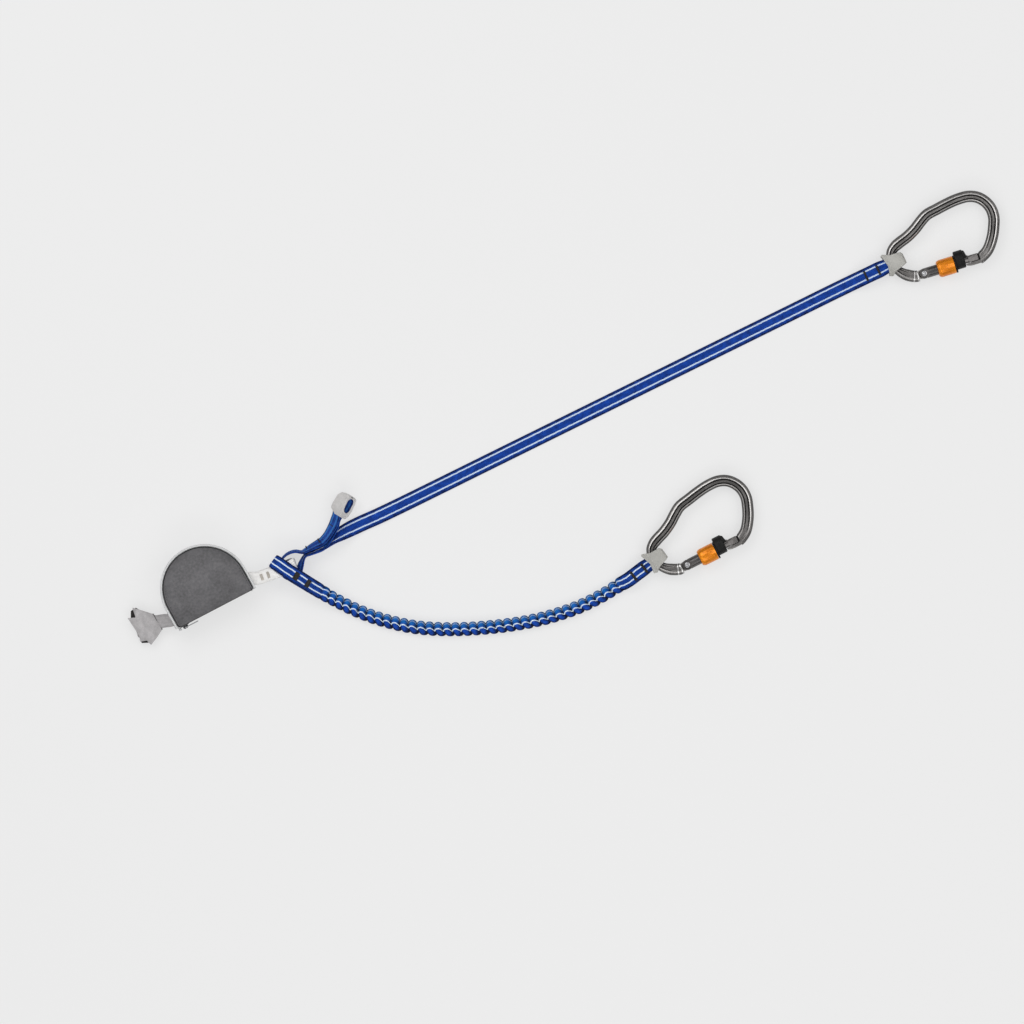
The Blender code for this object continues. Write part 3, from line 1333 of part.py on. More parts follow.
def tear_points(offset):
    """The folded run of one ply, at an offset to the left of the pair's middle."""
    first = STRAP_ENTRY + HITCH_STRAP_WIDTH / 2 + LAYER + 2 * FIT_GAP
    points = [(-offset, STRAP_ENTRY + TAIL_BEND)]
    points += arc((TEAR_BEND, first - TEAR_BEND), TEAR_BEND + offset, 180, 90, 4)
    for k in range(TEAR_RUNS):
        height = first + k * TEAR_PITCH
        reach = POUCH_WIDTH / 2 - TEAR_MARGIN
        over = max(0.0, height + TEAR_BEND - POUCH_SIDE)
        reach = math.sqrt(max(reach**2 - over**2, 0.0))
        if k % 2 == 0:
            points += arc((reach, height + TEAR_BEND), TEAR_BEND - offset, -90, 90, 6)
        else:
            points += arc((-reach, height + TEAR_BEND), TEAR_BEND + offset, 270, 90, 6)
    last = first + TEAR_RUNS * TEAR_PITCH
    sign = 1 if TEAR_RUNS % 2 == 0 else -1
    points.append((0.0, last + sign * offset))
    return points


def tear_ply(name, side, finish):
    """A ply: a flat tail by its slot, a quarter twist, a bend, and the folded run."""
    width, narrow = TEAR_WIDTH, HITCH_STRAP_WIDTH
    tail_height = STRAP_HEIGHT - (LAYER / 2 if side < 0 else 0.0)
    rows = []
    for reach, turn in ((TAIL_END, 0), (TAIL_TWIST_END, 0), (0.75 * TAIL_TWIST_END, 30),
                        (0.6 * TAIL_TWIST_END, 60), (TAIL_TWIST_START, 90)):
        share = turn / 90
        height = tail_height * (1 - share) + STRAP_HEIGHT * share
        across = (0.0, math.cos(math.radians(turn)), math.sin(math.radians(turn)))
        rows.append(((side * reach, STRAP_ENTRY, height), across, narrow + (width - narrow) * share**2))
    middle = (side * (LAYER / 2 + TAIL_BEND), STRAP_ENTRY + TAIL_BEND)
    start, end = (-90, -18) if side < 0 else (-90, -162)
    bend = arc(middle, TAIL_BEND, start, end, 4)
    for x, y in bend + tear_points(-side * LAYER / 2):
        rows.append(((x, y, STRAP_HEIGHT), (0.0, 0.0, 1.0), width))
    line = np.array([(*point, *across, wide) for point, across, wide in rows])
    return add(name, band(line), finish, POUCH_FRAME)


tear_ply("tear_webbing_harness_ply", -1, STRAP_GREY)
tear_ply("tear_webbing_arm_ply", 1, WHITE)

# Arm side loop: out of the pouch on top of the tail, round its end, and back in under it
LOOP_OVER_ROUTE = [(258.0, 578.2), (268.0, 575.0), (278.0, 571.6), (287.0, 568.4), (292.5, 566.0)]
LOOP_UNDER_ROUTE = [(292.0, 564.4), (284.0, 567.6), (275.0, 571.4), (266.0, 575.0), (258.0, 577.8)]
LOOP_CLIMB_SHARES = (0.25, 0.8, 1.0, 1.0, 1.0)
LOOP_FALL_SHARES = (1.0, 1.0, 1.0, 0.62, 0.2)
LOOP_END = (295.5, 564.0)
LOOP_HEADING = 19.0
LOOP_WIDTH = 0.0120
LOOP_INSIDE = 0.0110
LOOP_CORNER = 0.0030


def arm_loop():
    inside, slot = POUCH_WIDTH / 2 - LOOP_INSIDE, POUCH_WIDTH / 2 + GUSSET_PROUD
    pouch_across = pouch_direction(0.0, 1.0, 0.0)
    across = heading_of(LOOP_HEADING + 90)
    width = LOOP_WIDTH
    high, low = STRAP_HEIGHT + LAYER, STRAP_HEIGHT - LAYER
    rows = [(pouch_point(inside, STRAP_ENTRY, high), pouch_across, width)]
    rows.append((pouch_point(slot, STRAP_ENTRY, high), pouch_across, width))
    for (x, y), share in zip(LOOP_OVER_ROUTE, LOOP_CLIMB_SHARES):
        rows.append((spot(x, y, high + (LOOP_HIGH - high) * share), across, width))
    end_high, end_low = LOOP_HIGH - LOOP_CORNER, LOOP_LOW + LOOP_CORNER
    back = heading_of(LOOP_HEADING) * 0.3 * LOOP_CORNER
    bend = UP * 0.3 * LOOP_CORNER
    rows.append((spot(*LOOP_END, LOOP_HIGH) - back - bend, across, width))
    rows.append((spot(*LOOP_END, end_high), across, width))
    rows.append((spot(*LOOP_END, (end_high + end_low) / 2), across, width))
    rows.append((spot(*LOOP_END, end_low), across, width))
    rows.append((spot(*LOOP_END, LOOP_LOW) - back + bend, across, width))
    for (x, y), share in zip(LOOP_UNDER_ROUTE, LOOP_FALL_SHARES):
        rows.append((spot(x, y, low + (LOOP_LOW - low) * share), across, width))
    rows.append((pouch_point(slot, STRAP_ENTRY, low), pouch_across, width))
    rows.append((pouch_point(inside, STRAP_ENTRY, low), pouch_across, width))
    return webbing("arm_loop_webbing", rows, WHITE, 0.5 * PATH_STEP, lowest=LOOP_LOW)


loop_line = arm_loop()[1]

# Harness strap: from the bight's edge over the ring's place, round it and back under,
# through its own bight and into the pouch. Each station: place, height share, width.
HITCH_ROUTE = [
    (157.6, 621.4, 0.84, 0.0190),
    (150.5, 624.0, 0.97, 0.0285),
    (143.4, 626.2, 1.00, 0.0385),
    (137.0, 627.6, 0.90, 0.0310),
    (133.6, 627.6, 0.50, 0.0235),
    (137.0, 627.2, 0.10, 0.0225),
    (144.0, 625.8, 0.00, 0.0215),
    (151.0, 623.8, 0.06, 0.0170),
    (158.0, 621.8, 0.34, 0.0132),
]
HITCH_HEADING = 20.6
HITCH_NECK = (165.0, 620.6)
HITCH_NECK_SHARE = 0.72


def harness_strap():
    low = WEBBING_THICKNESS / 2 + FIT_GAP
    high = low + HITCH_BORE_HEIGHT + WEBBING_THICKNESS
    across = heading_of(HITCH_HEADING + 90)
    rows = [(spot(x, y, low + (high - low) * share), across, width) for x, y, share, width in HITCH_ROUTE]
    strap_height = STRAP_HEIGHT + LAYER / 2
    pouch_across = pouch_direction(0.0, 1.0, 0.0)
    neck = spot(*HITCH_NECK, HITCH_NECK_SHARE * strap_height)
    rows.append((neck, across, HITCH_STRAP_WIDTH))
    slot = POUCH_WIDTH / 2 + GUSSET_PROUD
    rows.append((pouch_point(-slot, STRAP_ENTRY, strap_height), pouch_across, HITCH_STRAP_WIDTH))
    inside = TAIL_TWIST_END + 2 * FIT_GAP
    rows.append((pouch_point(-TAIL_END, STRAP_ENTRY, strap_height), pouch_across, HITCH_STRAP_WIDTH))
    rows.append((pouch_point(-inside, STRAP_ENTRY, strap_height), pouch_across, HITCH_STRAP_WIDTH))
    return webbing("harness_strap", rows, STRAP_GREY, 0.5 * PATH_STEP, lowest=low)


harness_strap()


def bar_tack(name, line, place_of, length, finish):
    """A row of thick stitching on the upper face of a strap, where it passes a place."""
    runs = np.concatenate([[0], np.cumsum(np.linalg.norm(np.diff(line[:, :3], axis=0), axis=1))])
    wanted = np.arange(0, runs[-1], FINE_STEP)
    line = np.stack([np.interp(wanted, runs, column) for column in line.T], axis=1)
    points, across, face = frames(line)
    away = np.linalg.norm(points[:, :2] - spot(*place_of)[:2], axis=1)
    near = np.flatnonzero(away < away.min() + TACK_NEARNESS)
    i = int(near[np.argmax(points[near, 2])])
    forward = np.cross(across[i], face[i])
    upright = face[i] * math.copysign(1, face[i][2])
    target = spot(*place_of, points[i][2])
    middle = points[i] + forward * np.dot(target - points[i], forward) * abs(upright[2])
    along = np.abs((points - middle) @ forward)
    rise = (points - middle) @ upright
    below = rise[(along < 1.5 * BAR_TACK_WIDTH) & (np.abs(rise) < LAYER / 2)]
    lift = (WEBBING_THICKNESS + BAR_TACK_THICKNESS) / 2 + 0.5 * FIT_GAP + below.max(initial=0.0)
    where = Matrix.Identity(4)
    sideways = np.cross(upright, forward)
    for column, direction in enumerate((forward, sideways, upright)):
        for row in range(3):
            where[row][column] = direction[row]
    where.translation = Vector(middle + upright * lift)
    half = (BAR_TACK_WIDTH / 2, length / 2, BAR_TACK_THICKNESS / 2)
    return add(name, box([-v for v in half], half), finish, where)


# Where each pair of tacks lies, its strap's line, its length and finish
TACK_PAIRS = {
    "long_arm": (long_line, BAR_TACK_LENGTH, THREAD, (866.1, 277.3), (878.4, 271.0)),
    "elastic_arm": (elastic_rows, BAR_TACK_LENGTH, THREAD, (633.0, 575.4), (645.1, 569.3)),
    "elastic_loop": (elastic_rows, BAR_TACK_LENGTH, THREAD, (297.0, 576.1), (308.0, 583.2)),
    "arm_loop": (loop_line, LOOP_WIDTH / 2, STRAP_GREY, (262.5, 576.6), (269.0, 574.6)),
}
for strap, (line, length, finish, inner, outer) in TACK_PAIRS.items():
    bar_tack(f"{strap}_bar_tack_inner", line, inner, length, finish)
    bar_tack(f"{strap}_bar_tack_outer", line, outer, length, finish)
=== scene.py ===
import math

import bmesh
import bpy
import numpy as np
from mathutils import Matrix, Vector


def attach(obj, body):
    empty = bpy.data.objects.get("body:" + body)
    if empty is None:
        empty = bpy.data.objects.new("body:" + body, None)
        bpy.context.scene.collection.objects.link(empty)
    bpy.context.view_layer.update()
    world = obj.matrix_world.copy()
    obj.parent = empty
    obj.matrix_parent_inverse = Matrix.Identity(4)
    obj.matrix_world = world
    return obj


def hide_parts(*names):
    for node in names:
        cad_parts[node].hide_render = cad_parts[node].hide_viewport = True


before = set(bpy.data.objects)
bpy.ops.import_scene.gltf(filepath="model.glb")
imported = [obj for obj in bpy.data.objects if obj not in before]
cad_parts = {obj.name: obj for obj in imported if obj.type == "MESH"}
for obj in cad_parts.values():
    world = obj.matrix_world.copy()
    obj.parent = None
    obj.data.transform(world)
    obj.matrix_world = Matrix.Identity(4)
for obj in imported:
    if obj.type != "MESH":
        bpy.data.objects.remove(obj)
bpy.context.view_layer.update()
print("frame loaded")

# Places in the plane are pixels of the picture, turned into metres
picture = {"pixel": 0.00095, "middle": (563.4, 417.0), "centre": (512.0, 512.0)}
up = np.array((0.0, 0.0, 1.0))
fitGap = 0.0003
lay = {"width": 0.0152, "thickness": 0.0017}  # flat webbing
layer = lay["thickness"] + fitGap


def spot(x, y, height=0.0):
    px = picture["pixel"]
    return np.array(((x - picture["middle"][0]) * px, (picture["middle"][1] - y) * px, height))


def headingOf(degrees):
    return np.array((math.cos(math.radians(degrees)), math.sin(math.radians(degrees)), 0.0))


def clamp(share):
    return min(1.0, max(0.0, share))


def eased(share):
    return share * share * (3 - 2 * share)


def mirrored(points):  # an outline from its upper half
    return points + [(x, -y) for x, y in reversed(points)]


def turnBy(degrees, axis):
    return Matrix.Rotation(math.radians(degrees), 4, axis)


# Camera straight above, as far off as the picture's perspective shows
view = {"lens": 300.0, "sensor": 36.0, "frameWidth": 1024}
cameraData = bpy.data.cameras.new("camera")
cameraData.lens = view["lens"]
cameraData.sensor_width = view["sensor"]
camera = bpy.data.objects.new("camera", cameraData)
distance = view["frameWidth"] * picture["pixel"] * view["lens"] / view["sensor"]
camera.location = spot(*picture["centre"], distance)
bpy.context.scene.collection.objects.link(camera)
bpy.context.scene.camera = camera
bpy.context.scene.view_settings.view_transform = "Standard"


class Signal:  # one value of a shader, which ordinary sums work on
    def __init__(self, finish, socket):
        self.finish, self.socket = finish, socket

    def __rsub__(self, other):
        return self.finish.maths("SUBTRACT", other, self)

    def clipped(self):
        return self.most(0.0).least(1.0)


def signalSum(operation):
    return lambda self, *others: self.finish.maths(operation, self, *others)


signalSums = {
    "ADD": ("__add__", "__radd__"),
    "MULTIPLY": ("__mul__", "__rmul__"),
    "SUBTRACT": ("__sub__",),
    "DIVIDE": ("__truediv__",),
    "POWER": ("__pow__",),
    "ABSOLUTE": ("__abs__",),
    "SINE": ("wave",),
    "MINIMUM": ("least",),
    "MAXIMUM": ("most",),
}
for sumKind, methods in signalSums.items():
    for method in methods:
        setattr(Signal, method, signalSum(sumKind))


class Nodes:  # the nodes of one tree
    def __init__(self, tree):
        self.tree = tree

    def node(self, kind, settings=None, inputs=None):
        made = self.tree.nodes.new(kind)
        for key, value in (settings or {}).items():
            if key != "stops":
                setattr(made, key, value)
                continue
            elements = made.color_ramp.elements
            while len(elements) < len(value):
                elements.new(0.5)
            for element, (position, colour) in zip(elements, value):
                element.position, element.color = position, colour
        for key, value in (inputs or {}).items():
            socket = value.socket if isinstance(value, Signal) else value
            if isinstance(socket, bpy.types.NodeSocket):
                self.tree.links.new(socket, made.inputs[key])
            else:
                made.inputs[key].default_value = socket
        return made

    def maths(self, operation, *values):
        made = self.node("ShaderNodeMath", {"operation": operation}, dict(enumerate(values)))
        return Signal(self, made.outputs[0])

    def mix(self, share, low, high):
        inputs = {0: share, 6: low, 7: high}
        return self.node("ShaderNodeMix", {"data_type": "RGBA"}, inputs).outputs[2]

    def parts(self, vector):
        made = self.node("ShaderNodeSeparateXYZ", None, {0: vector})
        return [Signal(self, socket) for socket in made.outputs]

    def place(self):
        return self.node("ShaderNodeTexCoord").outputs["Object"]

    def vector(self, x, y, z):
        return self.node("ShaderNodeCombineXYZ", None, {0: x, 1: y, 2: z}).outputs[0]

    def noise(self, vector, scale, detail=3.0):
        inputs = {"Vector": vector, "Scale": scale, "Detail": detail}
        return Signal(self, self.node("ShaderNodeTexNoise", None, inputs).outputs["Fac"])


class Finish(Nodes):  # a material and the nodes that make it
    def __init__(self, name, **sockets):
        self.material = bpy.data.materials.new(name)
        self.material.use_nodes = True
        super().__init__(self.material.node_tree)
        self.shader = self.tree.nodes["Principled BSDF"]
        for socket, value in sockets.items():
            self.shader.inputs[socket.replace("_", " ")].default_value = value

    def strap(self, name):  # share across and metres along, or puckers along and how gathered
        made = self.node("ShaderNodeUVMap", {"uv_map": name})
        return self.parts(made.outputs[0])[:2]

    def feed(self, socket, value):
        source = value.socket if isinstance(value, Signal) else value
        self.tree.links.new(source, self.shader.inputs[socket])

    def bump(self, height, distance):
        inputs = {"Height": height, "Distance": distance, "Strength": 1.0}
        self.feed("Normal", self.node("ShaderNodeBump", None, inputs).outputs[0])


def paint(red, green, blue):  # screen values, 0 to 255
    linear = []
    for value in (red, green, blue):
        value /= 255
        linear.append(value / 12.92 if value <= 0.04045 else ((value + 0.055) / 1.055) ** 2.4)
    return (*linear, 1.0)


def shades(colour, low, high, lift=0):  # a darker and a paler paint of a colour
    dark = paint(*[value * low for value in colour])
    return dark, paint(*[min(255, value * high + lift) for value in colour])


webbingLook = {
    "stripes": (),
    "stripeColour": (214, 232, 250),
    # light blue of stripes, partly wear and partly painted highlight on faces that lean to the light
    "wornAndLitColour": (56, 122, 196),
    "stripeHalf": 0.085,
    "yarns": 15.0,
    "pick": 0.0011,
    "sheen": 0.08,
    "relief": 0.00012,
    "spread": 0.75,
    # how strongly painted shade darkens both edges of the face
    "edge": 0.62,
    "shadow": 0.50,
    "bareAndLit": -1.0,  # before this length the stripes take the light blue colour, partly wear and partly painted highlight
    "gathered": False,
}


def webbingFinish(name, *changes):
    look = dict(webbingLook)
    for change in changes:
        look.update(change)
    finish = Finish(name, Roughness=0.82, Sheen_Weight=look["sheen"], Specular_IOR_Level=0.16)
    across, along = finish.strap("strap")
    yarn = across * (look["yarns"] * math.pi)
    pick = along * (2 * math.pi / look["pick"])
    weave = yarn.wave() * pick.wave()
    rib = abs((yarn * 0.5).wave())
    cloud = finish.noise(finish.vector(across * 0.8, along * 60.0, 0.0), 3.0)
    fleck = finish.noise(finish.vector(across * 7.0, along * 700.0, 0.0), 2.0, 2.0)
    tone = ((cloud - 0.5) * 1.5 + (fleck - 0.5)) * look["spread"] + 0.5
    # painted shade: a darker band along both edges of the face, with the selvedge itself left plain
    edge = ((abs(across) - 0.62) * 2.6).clipped() * ((1.0 - abs(across)) * 18.0).clipped()
    shade = tone + weave * 0.10 - edge * look["edge"]
    wander = (finish.noise(finish.vector(0.0, along * 60.0, 0.0), 4.0, 1.0) - 0.5) * 0.09
    ways, dims = [across + wander] * 2, [1.0, 1.0]
    crown = None
    if look["gathered"]:  # stripes bend round the puckers; painted light and shade on them: paler crests on the upper puffs, one side of each pucker lighter, darker creases
        phase, gather = finish.strap("gather")
        crest = abs((phase * math.pi).wave()) ** 0.7
        upper = ((0.12 - across) * 1.6).clipped()
        lit = (phase * (2 * math.pi)).wave() * 0.14
        # painted shade in the creases, and painted light on one side of each pucker
        shade = shade + gather * ((crest - 0.80) * 1.1 + lit)
        # painted highlight on the crests of the upper puffs
        crown = gather * crest * upper * (lit * 1.6 + 0.62)
        ways = [ways[0] + gather * (crest * 0.36 + 0.02), ways[1] + gather * crest * 0.40]
        dims = [1.0 - gather * 0.72, 1.0]
    dark, pale = shades(look["colour"], look["shadow"], 1.45, 6)
    if "paleColour" in look:
        pale = paint(*look["paleColour"])
    colour = finish.mix(shade.clipped(), dark, pale)
    if crown:
        colour = finish.mix(crown.clipped(), colour, paint(*look["crestHighlightColour"]))
    # stripes before that length are light blue, partly wear and partly painted highlight
    bright = ((along - look["bareAndLit"]) * 90.0).clipped()
    stripeTone = finish.mix(bright, paint(*look["wornAndLitColour"]), paint(*look["stripeColour"]))
    half = look["stripeHalf"]
    for middle, way, dim in zip(look["stripes"], ways, dims):
        mask = ((half - abs(way - middle)) * (3.0 / half) + 0.5).clipped()
        thread = (weave * 0.18 + fleck * 0.3 + 0.68).clipped()
        colour = finish.mix(mask * thread * dim, colour, stripeTone)
    finish.feed("Base Color", colour)
    finish.bump(weave * 0.5 + rib * 0.5 + fleck * 0.3, look["relief"])
    return finish


blueLook = {"colour": (14, 42, 128), "paleColour": (24, 80, 190), "stripes": (-0.54, 0.44), "sheen": 0.02}
blueWebbing = webbingFinish("blueWebbing", blueLook, {"bareAndLit": 0.088})
# rest branch: lighter blue and wide light blue stripes, partly wear and partly painted highlight on its
# leaning faces
wornAndLitLook = {"colour": (18, 52, 144), "paleColour": (32, 94, 204), "bareAndLit": 1.0, "stripeHalf": 0.16}
wornAndLitWebbing = webbingFinish("blueWornAndLitWebbing", blueLook, wornAndLitLook)
gatheredLook = {
    "stripes": (-0.42, 0.34),
    "gathered": True,
    "pick": 0.0009,
    # colour of the painted highlight on the crests
    "crestHighlightColour": (20, 112, 186),
    # a deeper dark, for the painted shade in the creases
    "shadow": 0.36,
    "stripeColour": (232, 246, 255),
}
blueGathered = webbingFinish("blueGatheredWebbing", blueLook, gatheredLook)
whiteLook = {"colour": (243, 241, 239), "paleColour": (255, 254, 252), "yarns": 12.0}
whiteWebbing = webbingFinish("whiteWebbing", whiteLook, {"spread": 0.3, "shadow": 0.9, "edge": 0.3})
greyLook = {"colour": (172, 169, 170), "paleColour": (206, 203, 204), "yarns": 12.0}
greyWebbing = webbingFinish("greyWebbing", greyLook, {"spread": 0.6, "shadow": 0.78, "edge": 0.2})
pouchHeading = 27.6


def clothFinish(name, colour, pitch=0.0009, relief=0.0001, spread=0.24):
    finish = Finish(name, Roughness=0.88, Sheen_Weight=0.2)
    x, y, z = finish.parts(finish.place())
    slant = math.radians(pouchHeading)  # the threads run along the pouch
    along = x * math.cos(slant) + y * math.sin(slant)
    across = y * math.cos(slant) - x * math.sin(slant) + z
    weave = (along * (2 * math.pi / pitch)).wave() * (across * (2 * math.pi / pitch)).wave()
    cloud, mottle, fleck = (
        finish.noise(finish.place(), scale, detail)
        for scale, detail in ((55.0, 3.0), (420.0, 2.0), (1400.0, 2.0))
    )
    uneven = (cloud - 0.5) * 2.0 + (mottle - 0.5) * 2.2 + (fleck - 0.5)
    shade = (uneven * spread + weave * 0.12 + 0.5).clipped()
    finish.feed("Base Color", finish.mix(shade, *shades(colour, 0.72, 1.25)))
    finish.bump(weave * 0.6 + fleck * 0.4, relief)
    return finish


bandCloth = clothFinish("bandCloth", (205, 208, 210), 0.0007, 0.00006, 0.08)
tapeCloth = clothFinish("zipTapeCloth", (60, 60, 62), 0.0006, 0.00006)


def moulded(name, colour, roughness, spread, relief, scale=600.0, metallic=0.0, **sockets):
    finish = Finish(name, Metallic=metallic, **sockets)
    cloud = finish.noise(finish.place(), scale * 0.12)
    grain = finish.noise(finish.place(), scale, 4.0)
    shade = ((cloud - 0.5) * 1.4 + (grain - 0.5) * 0.8 + 0.5).clipped()
    finish.feed("Base Color", finish.mix(shade, *shades(colour, 1 - spread, 1 + spread)))
    finish.feed("Roughness", grain * 0.16 + cloud * 0.10 + (roughness - 0.13))
    finish.bump(grain, relief)
    return finish


lacquer = {"Coat_Weight": 0.15, "Coat_Roughness": 0.12}
paleRubber = moulded("paleRubber", (169, 168, 163), 0.66, 0.09, 0.00006)
restRubber = moulded("restRubber", (198, 196, 195), 0.62, 0.09, 0.00006)
blackPlastic = moulded("blackPlastic", (9, 8, 9), 0.56, 0.3, 0.00003, Specular_IOR_Level=0.28)
orangeSleeve = moulded("orangeAnodised", (252, 128, 0), 0.36, 0.22, 0.00001, 420.0, 0.5, **lacquer)
brightSteel = moulded("brightSteel", (176, 176, 178), 0.28, 0.05, 0.00001, 400.0, 1.0)
darkSteel = moulded("darkSteel", (78, 78, 80), 0.34, 0.2, 0.00001, 900.0, 1.0)
blackThread = moulded("blackThread", (34, 31, 30), 0.8, 0.3, 0.00005, 1500.0)
# dark grey for the painted shadow line along the harness bight's edge
edgeShadowGrey = moulded("edgeShadowGrey", (96, 94, 94), 0.8, 0.15, 0.00005, 1500.0)
paleThread = moulded("paleThread", (176, 170, 162), 0.8, 0.2, 0.00005, 1500.0)
naturalRubber = moulded("naturalRubber", (160, 140, 116), 0.7, 0.08, 0.00004)

carabiner = {
    "length": 0.117,
    "height": 0.0091,
    "rodWidth": 0.0110,
    "rodHeight": 0.0094,
    "rodWaist": 0.0087,
    "waistReach": 1.6,  # in rod widths from the eye
    "roundness": (2.7, 2.3),
    "groove": 0.0014,
    "grooveShift": -0.13,  # towards the opening
    "grooveHalf": 0.40,
    "grooveWall": 0.13,
    "grooveSink": 0.03,
    "spineSteps": 150,
    "fadeSteps": 34,  # of the groove, at both ends of the rod
    "bareAndLitRings": (1, 5),  # bright lines at the hinge, a painted highlight of the frame's machined end
    "gateRadius": 0.0050,
    "gateShare": 0.465,
    "hingeGap": 0.0004,
    "seenGap": 0.0005,
    "rodSeat": 0.0006,
    "eyeShares": (-0.2165, 0.155),
}


def anodisedFinish(name, dull, clean):
    finish = Finish(name, Metallic=0.92)
    where = finish.place()
    stain = finish.noise(where, 60.0)
    grain = finish.noise(where, 2500.0, 2.0)
    x, y, z = finish.parts(where)
    scratch = finish.noise(finish.vector(x * 900.0, y * 160.0, z * 160.0), 1.0, 2.0)
    shade = ((stain - 0.5) * 1.2 + (grain - 0.5) * 0.7 + (scratch - 0.5) * 0.6 + 0.5).clipped()
    colour = finish.mix(shade, paint(*dull), paint(*clean))
    across, grooved = finish.strap("section")  # share across the rod, and how deep the groove is
    off = abs(across - carabiner["grooveShift"])
    deep = grooved.most(0.0)
    # painted shade on the groove walls
    wall = ((0.15 - abs(off - 0.30)) * 18.0).clipped() * deep
    # painted highlight lines along the groove's edges
    grooveGlint = ((0.09 - abs(off - 0.55)) * 16.0).clipped() * deep
    # painted shade along the rod's outer edges
    rim = ((abs(across) - 0.74) * 5.0).clipped()
    # painted highlight on the hinge rings, near white
    bareAndLit = (0.0 - grooved).clipped()
    colour = finish.mix(bareAndLit, colour, paint(250, 249, 248))
    # the painted highlight lines, near white
    colour = finish.mix(grooveGlint * 0.6, colour, paint(226, 224, 222))
    # painted shade of the groove walls and outer edges, near black
    colour = finish.mix((wall * 0.96).most(rim * (0.86 - bareAndLit * 0.5)), colour, paint(14, 13, 14))
    finish.feed("Base Color", colour)
    finish.feed("Roughness", stain * 0.14 + grain * 0.1 + wall * 0.3 + 0.18)
    finish.bump(grain * 0.5 + scratch * 0.5, 0.000012)
    return finish


anodised = anodisedFinish("greyAnodised", (94, 92, 91), (154, 151, 149))
gateAnodised = anodisedFinish("gateAnodised", (68, 66, 65), (116, 113, 112))
print("finishes made")


def newMesh(name, work):
    mesh = bpy.data.meshes.new(name)
    work.to_mesh(mesh)
    work.free()
    return mesh


def shown(name, mesh, finish, sharp=35.0):
    thing = bpy.data.objects.new(name, mesh)
    mesh.materials.clear()
    mesh.materials.append(finish.material)
    bpy.context.scene.collection.objects.link(thing)
    mesh.shade_smooth()
    mesh.set_sharp_from_angle(angle=math.radians(sharp))
    return thing


def dress(thing, body, slotName, *nodes):
    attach(thing, body)
    if nodes:
        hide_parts(*nodes)
    return thing


def baked(thing):  # the mesh an object shows, as a plain mesh, with the object gone
    if thing.name not in bpy.context.scene.collection.objects:
        bpy.context.scene.collection.objects.link(thing)
    bpy.context.view_layer.update()
    seen = thing.evaluated_get(bpy.context.evaluated_depsgraph_get())
    mesh = bpy.data.meshes.new_from_object(seen)
    bpy.data.objects.remove(thing, do_unlink=True)
    return mesh


def moved(mesh, where):
    mesh.transform(where)
    mesh.update()
    return mesh


def shifted(mesh, *offset):
    return moved(mesh, Matrix.Translation(offset))


def merged(mesh):
    work = bmesh.new()
    work.from_mesh(mesh)
    bmesh.ops.remove_doubles(work, verts=work.verts, dist=0.000002)
    bmesh.ops.recalc_face_normals(work, faces=work.faces)
    work.to_mesh(mesh)
    work.free()
    return mesh


def shaped(mesh, kind, **settings):  # a mesh after one modifier
    thing = bpy.data.objects.new("work", mesh)
    change = thing.modifiers.new("change", kind)
    for key, value in settings.items():
        setattr(change, key, value)
    return baked(thing)


def cut(mesh, *tools, operation="DIFFERENCE"):
    for tool in tools:
        other = bpy.data.objects.new("tool", tool)
        bpy.context.scene.collection.objects.link(other)
        done = shaped(mesh, "BOOLEAN", object=other, operation=operation, solver="EXACT")
        bpy.data.objects.remove(other, do_unlink=True)
        mesh = merged(done)
    return mesh


def fused(mesh, *tools):
    return cut(mesh, *tools, operation="UNION")


def rounded(mesh, width, segments=2, angle=38.0):
    limit = {"limit_method": "ANGLE", "angle_limit": math.radians(angle)}
    return shaped(mesh, "BEVEL", width=width, segments=segments, harden_normals=False, **limit)


def curveMesh(name, points, closed, **settings):
    curve = bpy.data.curves.new(name, "CURVE")
    for key, value in settings.items():
        setattr(curve, key, value)
    spline = curve.splines.new("POLY")
    spline.points.add(len(points) - 1)
    for point, place in zip(spline.points, points):
        point.co = (*place, 1.0)
    spline.use_cyclic_u = closed
    return merged(baked(bpy.data.objects.new(name, curve)))


def plate(outline, halfDepth, turn=None):
    points = [(x, y, 0.0) for x, y in outline]
    settings = {"dimensions": "2D", "fill_mode": "BOTH", "extrude": halfDepth}
    mesh = curveMesh("outline", points, True, **settings)
    return moved(mesh, turn) if turn else mesh


def wireMesh(points, radius, rounds=3):
    settings = {"dimensions": "3D", "bevel_depth": radius, "bevel_resolution": rounds}
    return curveMesh("wire", points, False, use_fill_caps=True, **settings)


def turnedMesh(profile, sides=64, closed=False, turn=None):
    mesh = bpy.data.meshes.new("profile")
    points = [(radius, 0.0, height) for radius, height in profile]
    edges = [(i, i + 1) for i in range(len(points) - 1)]
    if closed:
        edges.append((len(points) - 1, 0))
    mesh.from_pydata(points, edges, [])
    settings = {"axis": "Z", "steps": sides, "render_steps": sides, "use_merge_vertices": True}
    mesh = merged(shaped(mesh, "SCREW", merge_threshold=0.000001, **settings))
    return moved(mesh, turn) if turn else mesh


def barMesh(radius, low, high, sides=64, turn=None):
    return turnedMesh([(0.0, low), (radius, low), (radius, high), (0.0, high)], sides, False, turn)


def boxMesh(low, high):
    work = bmesh.new()
    bmesh.ops.create_cube(work, size=1.0)
    bmesh.ops.scale(work, vec=[b - a for a, b in zip(low, high)], verts=work.verts)
    bmesh.ops.translate(work, vec=[(a + b) / 2 for a, b in zip(low, high)], verts=work.verts)
    return newMesh("box", work)


